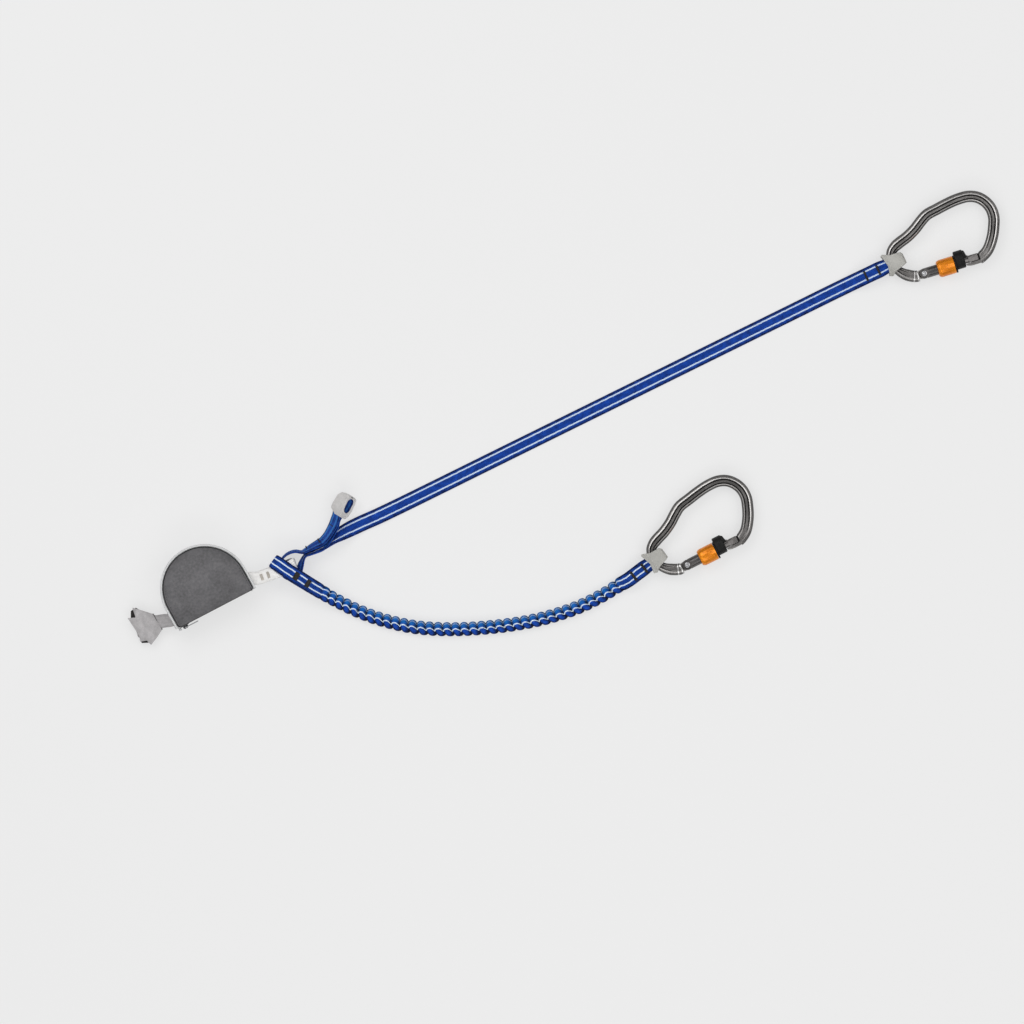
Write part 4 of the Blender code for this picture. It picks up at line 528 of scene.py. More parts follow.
def loftMesh(name, rings, layerName=None, marks=None, capMarks=(None, None), tip=None):
    # a skin through rings of points, closed at both ends or at a tip; marks are the points' UVs
    work = bmesh.new()
    uv = work.loops.layers.uv.new(layerName) if layerName else None

    def addFace(corners, values):
        face = work.faces.new(corners)
        if values:
            for loop, value in zip(face.loops, values):
                loop[uv].uv = value

    verts = [[work.verts.new(point) for point in ring] for ring in rings]
    around = len(verts[0])
    for i in range(len(verts) - 1):
        for k in range(around):
            n = (k + 1) % around
            places = ((i, k), (i, n), (i + 1, n), (i + 1, k))
            values = [marks[row][column] for row, column in places] if marks else None
            addFace([verts[row][column] for row, column in places], values)
    if tip:
        point = work.verts.new(tip)
        for k in range(around):
            addFace((verts[-1][k], verts[-1][(k + 1) % around], point), None)
    else:
        for ring, mark in zip((list(reversed(verts[0])), verts[-1]), capMarks):
            addFace(ring, [mark] * around if mark else None)
    bmesh.ops.recalc_face_normals(work, faces=work.faces)
    return newMesh(name, work)


def skin(name, rings, across, along, finish, sharp=35.0):
    # a closed strap, with its share across and its run as its UV map
    shares = across if np.ndim(across) > 1 else [across] * len(rings)
    marks = [[(share, run) for share in row] for row, run in zip(shares, along)]
    caps = [(0.7, along[0]), (0.7, along[-1])]
    return shown(name, loftMesh(name, rings, "strap", marks, caps), finish, sharp)


def arcOf(middle, radius, start, end, count):
    angles = np.radians(np.linspace(start, end, count))
    return [(middle[0] + radius * math.cos(a), middle[1] + radius * math.sin(a)) for a in angles]


def runsOf(line):
    return np.concatenate([[0], np.cumsum(np.linalg.norm(np.diff(line[:, :3], axis=0), axis=1))])


def lerp(a, b, start, end, t):
    return (end - t) / (end - start) * a + (t - start) / (end - start) * b


def smoothLine(stations, step):  # a curve through all stations, in even steps
    stations = np.array(stations, float)
    lengths = np.sqrt(np.linalg.norm(np.diff(stations[:, :3], axis=0), axis=1))
    knots = np.concatenate([[0], np.cumsum(lengths)])
    points = np.vstack([2 * stations[0] - stations[1], stations, 2 * stations[-1] - stations[-2]])
    knots = np.concatenate([[-lengths[0]], knots, [knots[-1] + lengths[-1]]])
    fine = []
    for i in range(1, len(points) - 2):
        p0, p1, p2, p3 = points[i - 1 : i + 3]
        t0, t1, t2, t3 = knots[i - 1 : i + 3]
        for t in np.linspace(t1, t2, 24, endpoint=False):
            a1, a2, a3 = lerp(p0, p1, t0, t1, t), lerp(p1, p2, t1, t2, t), lerp(p2, p3, t2, t3, t)
            b1, b2 = lerp(a1, a2, t0, t2, t), lerp(a2, a3, t1, t3, t)
            fine.append(lerp(b1, b2, t1, t2, t))
    fine = np.array([*fine, points[-2]])
    runs = runsOf(fine)
    wanted = np.linspace(0, runs[-1], max(2, int(round(runs[-1] / step)) + 1))
    return np.column_stack([np.interp(wanted, runs, fine[:, k]) for k in range(fine.shape[1])])


def directionsOf(points):
    steps = np.gradient(points, axis=0)
    return steps / np.linalg.norm(steps, axis=1)[:, None]


def framesOf(line):
    points = line[:, :3]
    forward = directionsOf(points)
    across = line[:, 3:6]
    across = across - forward * np.sum(across * forward, axis=1)[:, None]
    across = across / np.linalg.norm(across, axis=1)[:, None]
    return points, across, np.cross(forward, across)


def edgeRise(share):  # half thickness at a share of the half width, round at the edges
    return max(0.12, (1 - abs(share) ** 9) ** (1 / 2.2))


strapShares = [-1.0, -0.985, -0.95, -0.88, -0.7, -0.45, -0.2, 0.0, 0.2, 0.45, 0.7, 0.88, 0.95, 0.985, 1.0]
strapSection = mirrored([(share, edgeRise(share)) for share in strapShares])


def rowsLine(rows):
    return [(*point, *across, width) for point, across, width in rows]


def strapMesh(name, line, finish):
    points, across, face = framesOf(line)
    half, thickness = line[:, 6] / 2, lay["thickness"]
    rings = [
        [points[i] + across[i] * x * half[i] + face[i] * z * thickness / 2 for x, z in strapSection]
        for i in range(len(line))
    ]
    return skin(name, rings, [x for x, _ in strapSection], runsOf(line), finish)


def strap(name, stations, finish, step, lowest=None):
    line = smoothLine(rowsLine(stations), step)
    if lowest is not None:
        line[:, 2] = np.maximum(line[:, 2], lowest)
    return strapMesh(name, line, finish), line


# Heights of the layers at the junction, from the bottom up
floorHeight = lay["thickness"] / 2 + fitGap / 2
loopLow = lay["thickness"] / 2 + fitGap
eyeMiddle = loopLow + lay["thickness"] / 2 + fitGap + lay["width"] / 2
elasticUnder = eyeMiddle + lay["width"] / 2 + fitGap + lay["thickness"] / 2
loopHigh = elasticUnder + layer
elasticOver = loopHigh + layer

eye = {"radius": 0.00625, "sewnLength": 0.0190, "sewnStart": 0.0135, "webbingWidth": 0.0122}
eye["middleRadius"] = eye["radius"] + lay["thickness"] / 2
sides = {
    "upper": {"eye": (893.3, 263.1), "arm": 25.5, "gate": 17.0},
    "lower": {"eye": (655.2, 559.5), "arm": 37.0, "gate": 26.9},
}


def eyeStations(side, width):  # over the rod and back, from the sewn part to the tail
    place, heading = sides[side]["eye"], sides[side]["arm"]
    ahead, across = headingOf(heading), headingOf(heading - 90)
    middle = spot(*place, carabiner["height"])
    start, sewn = eye["sewnStart"], eye["sewnLength"]
    tangent = math.degrees(math.acos((eye["middleRadius"] - layer / 2) / start))
    rows = [(middle - ahead * start + up * layer / 2, across, width)]
    for angle in np.radians(np.linspace(180 - tangent, tangent - 180, 11)):
        out = ahead * math.cos(angle) + up * math.sin(angle)
        rows.append((middle + out * eye["middleRadius"], across, eye["webbingWidth"]))
    for back in (start, start + 0.5 * sewn, start + sewn):
        rows.append((middle - ahead * back - up * layer / 2, across, width))
    return rows


# Flat arm: tail in the stem, edge-on eye, stem, quarter twist, long flat run, carabiner eye
stem = {
    "route": [(303.5, 553.0), (312.0, 548.3), (322.0, 542.8), (331.0, 537.0)],
    "normal": np.array((-0.47, 0.883, 0.0)),
    "height": lay["width"] / 2 + fitGap,
    "heading": 31.0,
    "leans": (12.0, 22.0, 30.0),
    "tacks": [(0.55, 0.0062), (1.86, 0.0085)],  # how far along the route, and length
    "tackOut": 2.1,  # in layers
    "tackUp": 0.0020,
}
stem["heights"] = (eyeMiddle, (eyeMiddle + stem["height"]) / 2, stem["height"])
flatArm = {
    "eyeRoute": [  # place, heading and lean
        (296.0, 551.2, -75, 9), (290.5, 552.4, -75, 8), (285.0, 555.8, -75, 7), (280.8, 561.5, -75, 5),
        (279.5, 568.5, -75, 2), (282.5, 575.5, -20, 2), (288.5, 579.3, -20, 8), (295.2, 577.6, -20, 16),
        (299.2, 571.8, -20, 22), (301.0, 565.0, -20, 22),
    ],
    "route": [
        (360.0, 524.2), (378.0, 516.2), (400.0, 505.7), (510.0, 451.4),
        (620.0, 397.1), (730.0, 342.8), (800.0, 308.3), (832.0, 292.5),
    ],
    "twist": [  # place, share of the height, and how far the width stands up and lies to the right
        (333.0, 539.6, 0.97, 0.8, 0.6), (344.0, 532.3, 0.55, 0.4, 0.9),
    ],
    "tailLayers": 0.55,
    "stemLayers": -1.6,
    "rise": [(0.044, 0.25, 0.0), (0.034, 0.8, 0.5), (0.024, 1.0, 0.5)],  # before the eye
}


def leaning(heading, lean):  # the width direction of webbing whose top leans to the right
    right = headingOf(heading - 90)
    return up * math.cos(math.radians(lean)) + right * math.sin(math.radians(lean))


def makeFlatArm():
    width = lay["width"]

    def stemRow(i, layers):
        place = spot(*stem["route"][i], stem["heights"][i]) + stem["normal"] * layer * layers
        return place, leaning(stem["heading"], stem["leans"][i]), width

    rows = [stemRow(i, flatArm["tailLayers"]) for i in (2, 1, 0)]
    for x, y, way, lean in flatArm["eyeRoute"]:
        rows.append((spot(x, y, eyeMiddle), leaning(way + 90, lean), width))
    rows += [stemRow(i, flatArm["stemLayers"]) for i in (0, 1, 2)]
    ahead, right = headingOf(sides["upper"]["arm"]), headingOf(sides["upper"]["arm"] - 90)
    for x, y, share, stands, lies in flatArm["twist"]:
        rows.append((spot(x, y, share * stem["height"]), stands * up + lies * right, width))
    for i, (x, y) in enumerate(flatArm["route"]):
        rows.append((spot(x, y, floorHeight + (4 * fitGap if i < 2 else 0.0)), right, width))
    middle = spot(*sides["upper"]["eye"], 0.0)
    for back, share, layers in flatArm["rise"]:
        height = carabiner["height"] * share + (layer * layers if layers else floorHeight)
        rows.append((middle - back * ahead + up * height, right, width))
    rows += eyeStations("upper", width)
    return strap("flatArm", rows, blueWebbing, 0.0019, floorHeight)


def axesOf(node):  # middle and directions, longest first, of a CAD box
    corners = np.unique(np.round([v.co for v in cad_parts[node].data.vertices], 6), axis=0)
    middle = corners.mean(axis=0)
    axes = np.linalg.svd(corners - middle)[2]
    return middle, axes, [np.ptp((corners - middle) @ axis) for axis in axes]


# Anything that repeats along a line: stitches, teeth, threads
rowInputs = {"Line": "Geometry", "Piece": "Object", "Pitch": "Float", "Size": "Vector", "Finish": "Material"}


def makeRowTree():
    tree = bpy.data.node_groups.new("repeatAlong", "GeometryNodeTree")
    tree.interface.new_socket("Geometry", in_out="OUTPUT", socket_type="NodeSocketGeometry")
    for name, kind in rowInputs.items():
        tree.interface.new_socket(name, in_out="INPUT", socket_type="NodeSocket" + kind)
    rule = Nodes(tree)
    given = rule.node("NodeGroupInput").outputs
    curve = rule.node("GeometryNodeMeshToCurve", None, {0: given["Line"]}).outputs[0]
    spread = {"Curve": curve, "Length": given["Pitch"]}
    points = rule.node("GeometryNodeResampleCurve", {"mode": "LENGTH"}, spread).outputs[0]
    tangent = rule.node("GeometryNodeInputTangent").outputs[0]
    turn = rule.node("FunctionNodeAlignRotationToVector", {"axis": "X"}, {"Vector": tangent})
    piece = rule.node("GeometryNodeObjectInfo", None, {"Object": given["Piece"]}).outputs["Geometry"]
    placing = {"Points": points, "Instance": piece, "Rotation": turn.outputs[0], "Scale": given["Size"]}
    placed = rule.node("GeometryNodeInstanceOnPoints", None, placing).outputs[0]
    real = rule.node("GeometryNodeRealizeInstances", None, {0: placed}).outputs[0]
    coated = {"Geometry": real, "Material": given["Finish"]}
    painted = rule.node("GeometryNodeSetMaterial", None, coated).outputs[0]
    tree.links.new(painted, rule.node("NodeGroupOutput").inputs[0])
    return tree


rowTree = makeRowTree()


def unitPiece(name, mesh):
    thing = bpy.data.objects.new(name, mesh)
    mesh.shade_smooth()
    return thing


def makeThread():
    work = bmesh.new()
    bmesh.ops.create_uvsphere(work, u_segments=8, v_segments=6, radius=1.0)
    return unitPiece("thread", newMesh("thread", work))


thread = makeThread()


def rowMesh(line, piece, pitch, size, finish):
    mesh = bpy.data.meshes.new("row")
    mesh.from_pydata([tuple(p) for p in line], [(i, i + 1) for i in range(len(line) - 1)], [])
    thing = bpy.data.objects.new("row", mesh)
    change = thing.modifiers.new("repeat", "NODES")
    change.node_group = rowTree
    values = {"Piece": piece, "Pitch": pitch, "Size": size, "Finish": finish.material}
    for socket in rowTree.interface.items_tree:
        if socket.in_out == "INPUT" and socket.name in values:
            change[socket.identifier] = values[socket.name]
    return baked(thing)


def joined(name, meshes, finish, sharp=35.0):
    work = bmesh.new()
    for mesh in meshes:
        work.from_mesh(mesh)
    return shown(name, newMesh(name, work), finish, sharp)


tack = {"thread": 0.00036, "sink": 0.0001, "width": 0.0013, "edge": 0.33}


def threadTack(name, place, finish, slotName, spread, *nodes):  # zigzag thread
    middle, (length, width, out), (span, wide, _) = place
    out = out * math.copysign(1, out[2])
    wide *= spread
    round, sink = tack["thread"], out * tack["sink"]
    under = np.array([middle + length * span * (t - 0.5) - sink for t in (0.02, 0.98)])
    meshes = [rowMesh(under, thread, round, (round * 0.62, wide * 0.56, round * 0.62), finish)]
    meshes.append(wireMesh(under - sink / 2, round * 0.75, 1))
    for side in (-1, 1):
        shift = width * side * wide * tack["edge"]
        line = np.array([middle + length * span * t + shift for t in (-0.5, 0.5)])
        meshes.append(wireMesh(line - sink, round * 0.5, 1))
    return dress(joined(name + "Threads", meshes, finish, 80), "lanyard", slotName, *nodes)


def barTack(node, finish, slotName, spread, reach=1.0):
    middle, axes, (span, wide, thin) = axesOf(node)
    return threadTack(node, (middle, axes, (span * reach, wide, thin)), finish, slotName, spread, node)


# Stage
stageLook = {
    "floor": (238, 238, 238),
    "seen": (236, 236, 236),
    "glow": 0.72,
    "size": 4.0,
    "world": 0.75,
    "sky": [(0.0, 0.10), (0.45, 0.35), (0.95, 1.3)],  # place from the rim up, and light
    "strips": [  # a studio's lights, as metal mirrors them
        (0.0, 0.06), (0.30, 0.12), (0.46, 1.9), (0.60, 0.16), (0.76, 0.24), (0.86, 2.4), (0.96, 0.30),
    ],
}
lampLooks = {
    "keySoftbox": {"at": (-0.75, 0.85, 1.5), "size": (1.2, 0.9), "power": 9.0},
    "fillSoftbox": {"at": (1.1, 0.35, 1.5), "size": (1.0, 1.0), "power": 5.0},
    "lowSoftbox": {"at": (0.1, -1.2, 1.2), "size": (1.6, 0.5), "power": 5.0},
}


def makeFloor():
    half = stageLook["size"]
    work = bmesh.new()
    centre = spot(*picture["centre"])
    corners = [(-half, -half), (half, -half), (half, half), (-half, half)]
    work.faces.new([work.verts.new((centre[0] + x, centre[1] + y, 0.0)) for x, y in corners])
    paper = Finish("paleFloor", Roughness=0.9)
    grain = paper.noise(paper.place(), 60.0)
    tones = (grain * 0.01 + 0.995, paint(0, 0, 0), paint(*stageLook["floor"]))
    paper.feed("Base Color", paper.mix(*tones))
    path = paper.node("ShaderNodeLightPath").outputs
    glow = paper.node("ShaderNodeEmission", None, {"Color": paint(*stageLook["seen"])}).outputs[0]
    seen, glossy, through = (
        Signal(paper, path[f"Is {ray} Ray"]) for ray in ("Camera", "Glossy", "Transmission")
    )
    share = (seen * stageLook["glow"]).most(glossy.most(through) * stageLook["glow"])
    both = paper.node("ShaderNodeMixShader", None, {0: share, 1: paper.shader.outputs[0], 2: glow})
    paper.tree.links.new(both.outputs[0], paper.tree.nodes["Material Output"].inputs[0])
    shown("floor", newMesh("floor", work), paper)


def makeWorld():
    world = bpy.data.worlds.new("studio")
    world.use_nodes = True
    sky = Nodes(world.node_tree)
    where = sky.node("ShaderNodeTexCoord").outputs["Generated"]
    height = sky.parts(where)[2].clipped()
    plain, banded = (
        sky.node(
            "ShaderNodeValToRGB",
            {"stops": [(place, (light, light, light, 1)) for place, light in stageLook[key]]},
            {0: height},
        ).outputs[0]
        for key in ("sky", "strips")
    )
    glossy = sky.node("ShaderNodeLightPath").outputs["Is Glossy Ray"]
    back = world.node_tree.nodes["Background"]
    world.node_tree.links.new(sky.mix(glossy, plain, banded), back.inputs["Color"])
    back.inputs["Strength"].default_value = stageLook["world"]
    bpy.context.scene.world = world


def makeLamps():
    centre = Vector(spot(*picture["centre"]))
    for name, look in lampLooks.items():
        data = bpy.data.lights.new(name, "AREA")
        data.shape = "RECTANGLE"
        data.size, data.size_y = look["size"]
        data.energy = look["power"]
        lamp = bpy.data.objects.new(name, data)
        lamp.visible_camera = False
        lamp.location = centre + Vector(look["at"])
        lamp.rotation_euler = (centre - lamp.location).to_track_quat("-Z", "Y").to_euler()
        bpy.context.scene.collection.objects.link(lamp)


makeFloor()
makeWorld()
makeLamps()
print("stage and lamps set")

flatArmPiece, flatLine = makeFlatArm()
dress(flatArmPiece, "lanyard", "blue_webbing", "long_arm_webbing")

# Rest branch: a doubled strap out of the stem, leaning more and more, with an open eye
rest = {
    "route": [(329.0, 534.6, 48, 31), (333.6, 526.4, 56, 34)],  # place, heading and lean
    "eye": (343.9, 504.3),
    "heading": 62.0,
    "lean": 48.0,
    "neckLean": 40,
    "height": 0.0131,
    "eyeHalfWidth": 0.0042,
    "eyeHalfLength": 0.0076,
    "neck": 0.0062,
    "neckWidth": 0.0126,
    "shifts": [(1.25, 1.65, 1.6, 0.9, 0.5, 0.5), (-0.5,) * 6],  # in layers, out and back
    "tackOut": 1.05,
    "tackLength": 0.0070,
    "wall": 0.0006,
    "lip": 0.0019,
}
rest["ends"] = rest["eyeHalfLength"] - rest["eyeHalfWidth"]
rest["neckEnd"] = rest["eyeHalfLength"] + rest["neck"]


def restFrame():
    ahead = headingOf(rest["heading"])
    wide = leaning(rest["heading"], rest["lean"])
    return ahead, wide, np.cross(ahead, wide), spot(*rest["eye"], rest["height"])


def makeRestBranch():
    ahead, wide, lift, middle = restFrame()
    radius, ends = rest["eyeHalfWidth"] + lay["thickness"] / 2, rest["ends"]
    trunk = [
        (spot(*stem["route"][i], stem["heights"][i]), leaning(stem["heading"], stem["leans"][i]))
        for i in range(3)
    ]
    for gaps, (x, y, heading, lean) in enumerate(rest["route"], 1):
        trunk.append((spot(x, y, stem["height"] + gaps * fitGap), leaning(heading, lean)))
    neck = middle - ahead * rest["neckEnd"]
    trunk.append((neck + 2 * up * fitGap, leaning(rest["heading"], rest["neckLean"])))
    forward = directionsOf(np.array([point for point, _ in trunk]))
    faces = [np.cross(way, across) for way, (_, across) in zip(forward, trunk)]
    faces[:3] = [stem["normal"] * math.copysign(1, float(np.dot(stem["normal"], f))) for f in faces[:3]]
    widths = [lay["width"]] * 5 + [rest["neckWidth"]]
    out, back = (
        [(p + f * shift * layer, across, w) for (p, across), f, w, shift in zip(trunk, faces, widths, shifts)]
        for shifts in rest["shifts"]
    )
    eyeRows = []
    for centre, start, end, count in ((-ends, 118, 90, 2), (ends, 90, -90, 7), (-ends, -90, -118, 2)):
        for x, y in arcOf((centre, 0.0), radius, start, end, count):
            eyeRows.append((middle + ahead * x + lift * y, wide, eye["webbingWidth"]))
    piece, _ = strap("restBranch", out + eyeRows + list(reversed(back)), wornAndLitWebbing, 0.0009)
    return dress(piece, "lanyard", "blue_webbing", "rest_branch_webbing")


restPiece = makeRestBranch()


def tackOn(name, face, ahead, way, length):  # a short row of thread on the seen face of a strap
    out = np.cross(ahead, way)
    out = out * math.copysign(1, out[2])
    place = (face + out * tack["sink"], (way, ahead, out), (length, tack["width"], 0.0))
    return threadTack(name, place, blackThread, "black_thread", 1.0)


def makeStemTacks():
    made = []
    for along, length in stem["tacks"]:
        x, y = (np.interp(along, range(4), [point[k] for point in stem["route"]]) for k in (0, 1))
        height, lean = (np.interp(along, range(3), stem[key]) for key in ("heights", "leans"))
        way = leaning(stem["heading"], lean)
        face = spot(x, y, height) + stem["normal"] * layer * stem["tackOut"] + way * stem["tackUp"]
        made.append(tackOn(f"stemTack_{len(made)}", face, headingOf(stem["heading"]), way, length))
    x, y, heading, lean = rest["route"][1]
    face = spot(x, y, stem["height"] + 2 * fitGap) + headingOf(heading + 90) * layer * rest["tackOut"]
    way = leaning(heading, lean)
    return made + [tackOn("restTack", face, headingOf(heading), way, rest["tackLength"])]


stemTacks = makeStemTacks()

# Elastic arm: flat ends, and webbing gathered in puckers over a rubber core in between
elastic = {
    "underRoute": [  # place and how far it drops
        (311.0, 587.0, -0.0046), (305.0, 583.2, -0.0029), (299.0, 579.6, -0.0019),
        (292.0, 575.2, 0.0), (285.5, 570.4, 0.0), (279.0, 565.4, 0.0),
    ],
    "fold": (275.6, 562.0),
    "foldHeading": -36.0,
    "overRoute": [
        (279.0, 564.2, 0.0), (285.0, 568.4, 0.0), (291.0, 572.4, 0.0), (297.0, 576.1, 0.0),
        (303.0, 580.0, 0.0009), (310.5, 584.8, 0.0030), (318.3, 589.7, 0.0062),
        (328.8, 596.1, 0.0112), (340.7, 602.6, 0.0158), (357.0, 610.4, 0.0182),
    ],
    "route": [
        (380.6, 619.2), (415.0, 627.0), (450.0, 629.2), (485.0, 627.6), (520.0, 623.2),
        (550.0, 616.6), (580.0, 606.4), (603.0, 595.0), (619.0, 585.2),
    ],
    "width": 0.0143,
    "underWidth": 0.0118,
    "gatherStart": (314.5, 587.4),
    "gatherEnd": (624.0, 582.0),
    "riseLengths": (0.0315, 0.0235),
    "step": 0.0005,
    "puckerPitch": 0.0083,
    "puckerWidth": 0.0136,
    "puckerHeight": 0.0082,
    "puckerDepth": 0.0024,
    "boreWidth": 0.0070,
    "boreHeight": 0.0032,
    "blends": (0.0260, 0.0120),  # where the puckers grow at the start and shrink at the end
    "around": 48,
    "coreAround": 12,
    "skew": 0.42,
    "notch": 0.0034,
    "meet": 0.32,
    "meetSwing": 0.40,
}


def elasticLineOf(look):
    ahead, right = headingOf(look["foldHeading"]), headingOf(look["foldHeading"] - 90)
    rows = []
    for x, y, drop in look["underRoute"]:
        height = elasticUnder + layer + drop if drop < 0 else elasticUnder
        rows.append((spot(x, y, min(height, elasticOver + drop - layer)), right, look["underWidth"]))
    middle = spot(*look["fold"], (elasticUnder + elasticOver) / 2)
    for angle in (-45, 0, 45):
        out = up * math.sin(math.radians(angle)) - ahead * math.cos(math.radians(angle))
        width = look["underWidth"] + (look["width"] - look["underWidth"]) * (angle + 90) / 180
        rows.append((middle + out * layer, right, width))
    rows += [(spot(x, y, elasticOver - drop), right, look["width"]) for x, y, drop in look["overRoute"]]
    endAhead, endRight = headingOf(sides["lower"]["arm"]), headingOf(sides["lower"]["arm"] - 90)
    lying = look["puckerHeight"] / 2 + fitGap
    for i, (x, y) in enumerate(look["route"]):
        share = (i + 1) / len(look["route"])
        rows.append((spot(x, y, lying), right * (1 - share) + endRight * share, look["width"]))
    end = spot(*sides["lower"]["eye"], carabiner["height"] + layer / 2)
    first, second = look["riseLengths"]
    drop = 0.25 * (carabiner["height"] - lying)
    rows.append((end - first * endAhead - up * drop, endRight, look["width"]))
    rows.append((end - second * endAhead, endRight, look["width"]))
    rows += eyeStations("lower", look["width"])
    return smoothLine(rowsLine(rows), look["step"])


def nearestRun(line, runs, place):  # how far along a line it passes a place, on its upper pass
    away = np.linalg.norm(line[:, :2] - spot(*place)[:2], axis=1)
    near = np.flatnonzero(away < away.min() + 0.5 * picture["pixel"])
    return runs[near[np.argmax(line[near, 2])]]


def gathering(run, start, end):  # 0 where the webbing is flat, 1 where it is gathered
    grow, shrink = elastic["blends"]
    return eased(min(1.0, max(0.0, (run - start) / grow), max(0.0, (end - run) / shrink)))


def dome(share):  # a half circle over 0 to 1
    return math.sqrt(max(0.0, 1 - (2 * share - 1) ** 2))


def puckerRing(phase, width):  # share across, then the points of the gathered and of the flat section
    look = elastic
    half, depth, full = look["puckerWidth"] / 2, look["puckerDepth"], look["puckerHeight"] / 2
    meet = look["meet"] - look["meetSwing"] * dome(phase % 1.0)  # where the two rows of folds meet
    points = []
    for angle in np.linspace(0, 2 * math.pi, look["around"], endpoint=False):
        c, s = math.cos(angle), math.sin(angle)
        x = math.copysign(abs(c) ** 0.8, c)
        swell = dome((phase - look["skew"] * max(0.0, x)) % 1.0)  # round crests, sharp creases
        if x < meet:  # small puffs
            rise = dome((x + 1) / (meet + 1)) * swell
        else:  # long lobes that overlap them
            share = (x - meet) / (1 - meet)
            rise = math.sqrt(max(0.0, 1 - share**2)) * min(1.0, share * 7) * (0.3 + 0.7 * swell)
        notch = look["notch"] * (1.0 if x < 0 else 0.75)
        wide = half - notch * (1 - swell) * abs(x)
        tall = full - depth * ((1 - rise) if s >= 0 else 0.5 * (1 - swell))
        edge = edgeRise(x) if abs(s) > 0.000001 else 0.0
        flat = (width / 2 * x, lay["thickness"] / 2 * math.copysign(edge, s))
        points.append((x, (wide * x, tall * math.copysign(abs(s) ** 0.55, s)), flat))
    return points


def makeElasticArm():
    look = elastic
    line = elasticLineOf(look)
    runs = runsOf(line)
    start, end = (nearestRun(line, runs, look[key]) for key in ("gatherStart", "gatherEnd"))
    puckers = int(round((end - start) / look["puckerPitch"]))
    pitch = (end - start) / puckers
    points, across, face = framesOf(line)
    face = face * np.where(face[:, 2:3] < 0, -1.0, 1.0)
    rings, shares, gathers, kept = [], [], [], []
    for i, run in enumerate(runs):
        share = gathering(run, start, end)
        if share == 0.0 and i % 3 and 1 < i < len(line) - 2:
            continue
        phase = (run - start) / pitch
        ring, row = [], []
        for x, (px, pz), (fx, fz) in puckerRing(phase, line[i, 6]):
            side, rise = fx * (1 - share) + px * share, fz * (1 - share) + pz * share
            point = points[i] + across[i] * side + face[i] * rise
            ring.append((point[0], point[1], max(point[2], fitGap / 2)))
            row.append(x)
        rings.append(ring)
        shares.append(row)
        gathers.append([(phase - (look["skew"] * max(0.0, x)), share) for x in row])
        kept.append(i)
    thing = skin("elasticArm", rings, np.array(shares), runs[kept], blueGathered, 60)
    values = np.array(gathers, np.float32).reshape(-1, 2)
    corners = np.empty(len(thing.data.loops), np.int32)
    thing.data.loops.foreach_get("vertex_index", corners)
    thing.data.uv_layers.new(name="gather").data.foreach_set("uv", values[corners].ravel())
    core = []
    grow, shrink = look["blends"]
    width, height = look["boreWidth"] / 2 - fitGap, look["boreHeight"] / 2 - 2 * fitGap
    angles = np.linspace(0, 2 * math.pi, look["coreAround"], endpoint=False)
    for run in np.linspace(start + 0.5 * grow, end - shrink, 4 * puckers):
        i = int(np.argmin(np.abs(runs - run)))
        ring = [(math.cos(angle) * width, math.sin(angle) * height) for angle in angles]
        core.append([points[i] + across[i] * x + face[i] * z for x, z in ring])
    return thing, shown("elasticCore", loftMesh("loft", core), naturalRubber), line


elasticPiece, corePiece, elasticLine = makeElasticArm()
dress(elasticPiece, "lanyard", "blue_webbing", "elastic_arm_webbing")
dress(corePiece, "lanyard", "natural_rubber", "elastic_core")

# Carabiners, in the gate's frame: X from the hinge rivet to the nose, Y into the opening
spineShares = [
    (-0.066, -0.003), (-0.106, 0.012), (-0.155, 0.043), (-0.194, 0.084), (-0.211, 0.118), (-0.219, 0.162),
    (-0.222, 0.204), (-0.207, 0.243), (-0.172, 0.274), (-0.118, 0.299), (-0.050, 0.324), (0.028, 0.365),
    (0.100, 0.416), (0.158, 0.450), (0.252, 0.470), (0.341, 0.487), (0.430, 0.498), (0.524, 0.494),
    (0.593, 0.465), (0.642, 0.414), (0.670, 0.350), (0.673, 0.276), (0.649, 0.197), (0.607, 0.110),
    (0.547, 0.032), (0.490, -0.004), (0.460, -0.014),
]
alongGate, acrossArm = turnBy(90, "Y"), turnBy(90, "X")
tongue = {"radius": 0.0046, "thickness": 0.0038}
rivet = {"radius": 0.0016, "headRadius": 0.0026, "headThickness": 0.0006}
nose = {"lipTop": -0.0029, "lipThickness": 0.0031, "lipWidth": 0.0068, "keyThickness": 0.0026}
gateLength = carabiner["gateShare"] * carabiner["length"]
gateReach = gateLength - 2 * carabiner["seenGap"]
mouthTurn, drumHalf = 17, 0.94 * carabiner["gateRadius"]
lipStart, keyStart, noseRoot = 0.748 * gateLength, 0.845 * gateLength, 1.055 * gateLength
keyTop = nose["lipTop"] + 1.3 * nose["lipThickness"]
springs = {
    "bore": 0.0019,
    "boreEnd": 0.0125,
    "gateWire": 0.0006,
    "sleeveWire": 0.0009,
    "turns": 4,
    "plungerRadius": 0.0015,
    "plungerLength": 0.0026,
}
sleeve = {
    "bore": carabiner["gateRadius"] + fitGap,
    "wall": 0.0015,
    "startShare": 0.241,
    "lengthShare": 0.3035,
    "chamfer": 0.0034,
    "fluteDepth": 0.012,
    "flutes": 16,
    "flange": 0.0016,
    "camWall": 0.0006,
    "camOffset": 0.0029,
    "camShare": 0.16,
    "catchShare": 0.048,
    "catchHalfWidth": 0.0038,
}
sleeve["radius"] = sleeve["bore"] + springs["sleeveWire"] + 2.5 * fitGap + sleeve["wall"]
sleeve["start"] = sleeve["startShare"] * gateLength
sleeve["end"] = sleeve["start"] + sleeve["lengthShare"] * gateLength
sleeve["camRadius"] = sleeve["bore"] + sleeve["camWall"] + sleeve["camOffset"]
soft = {  # how far edges are rounded
    "all": 0.00022, "lip": 0.0004, "bar": 0.0003, "drum": 0.0005,
    "block": 0.0006, "disc": 0.0004, "cam": 0.0011, "catch": 0.0005,
}


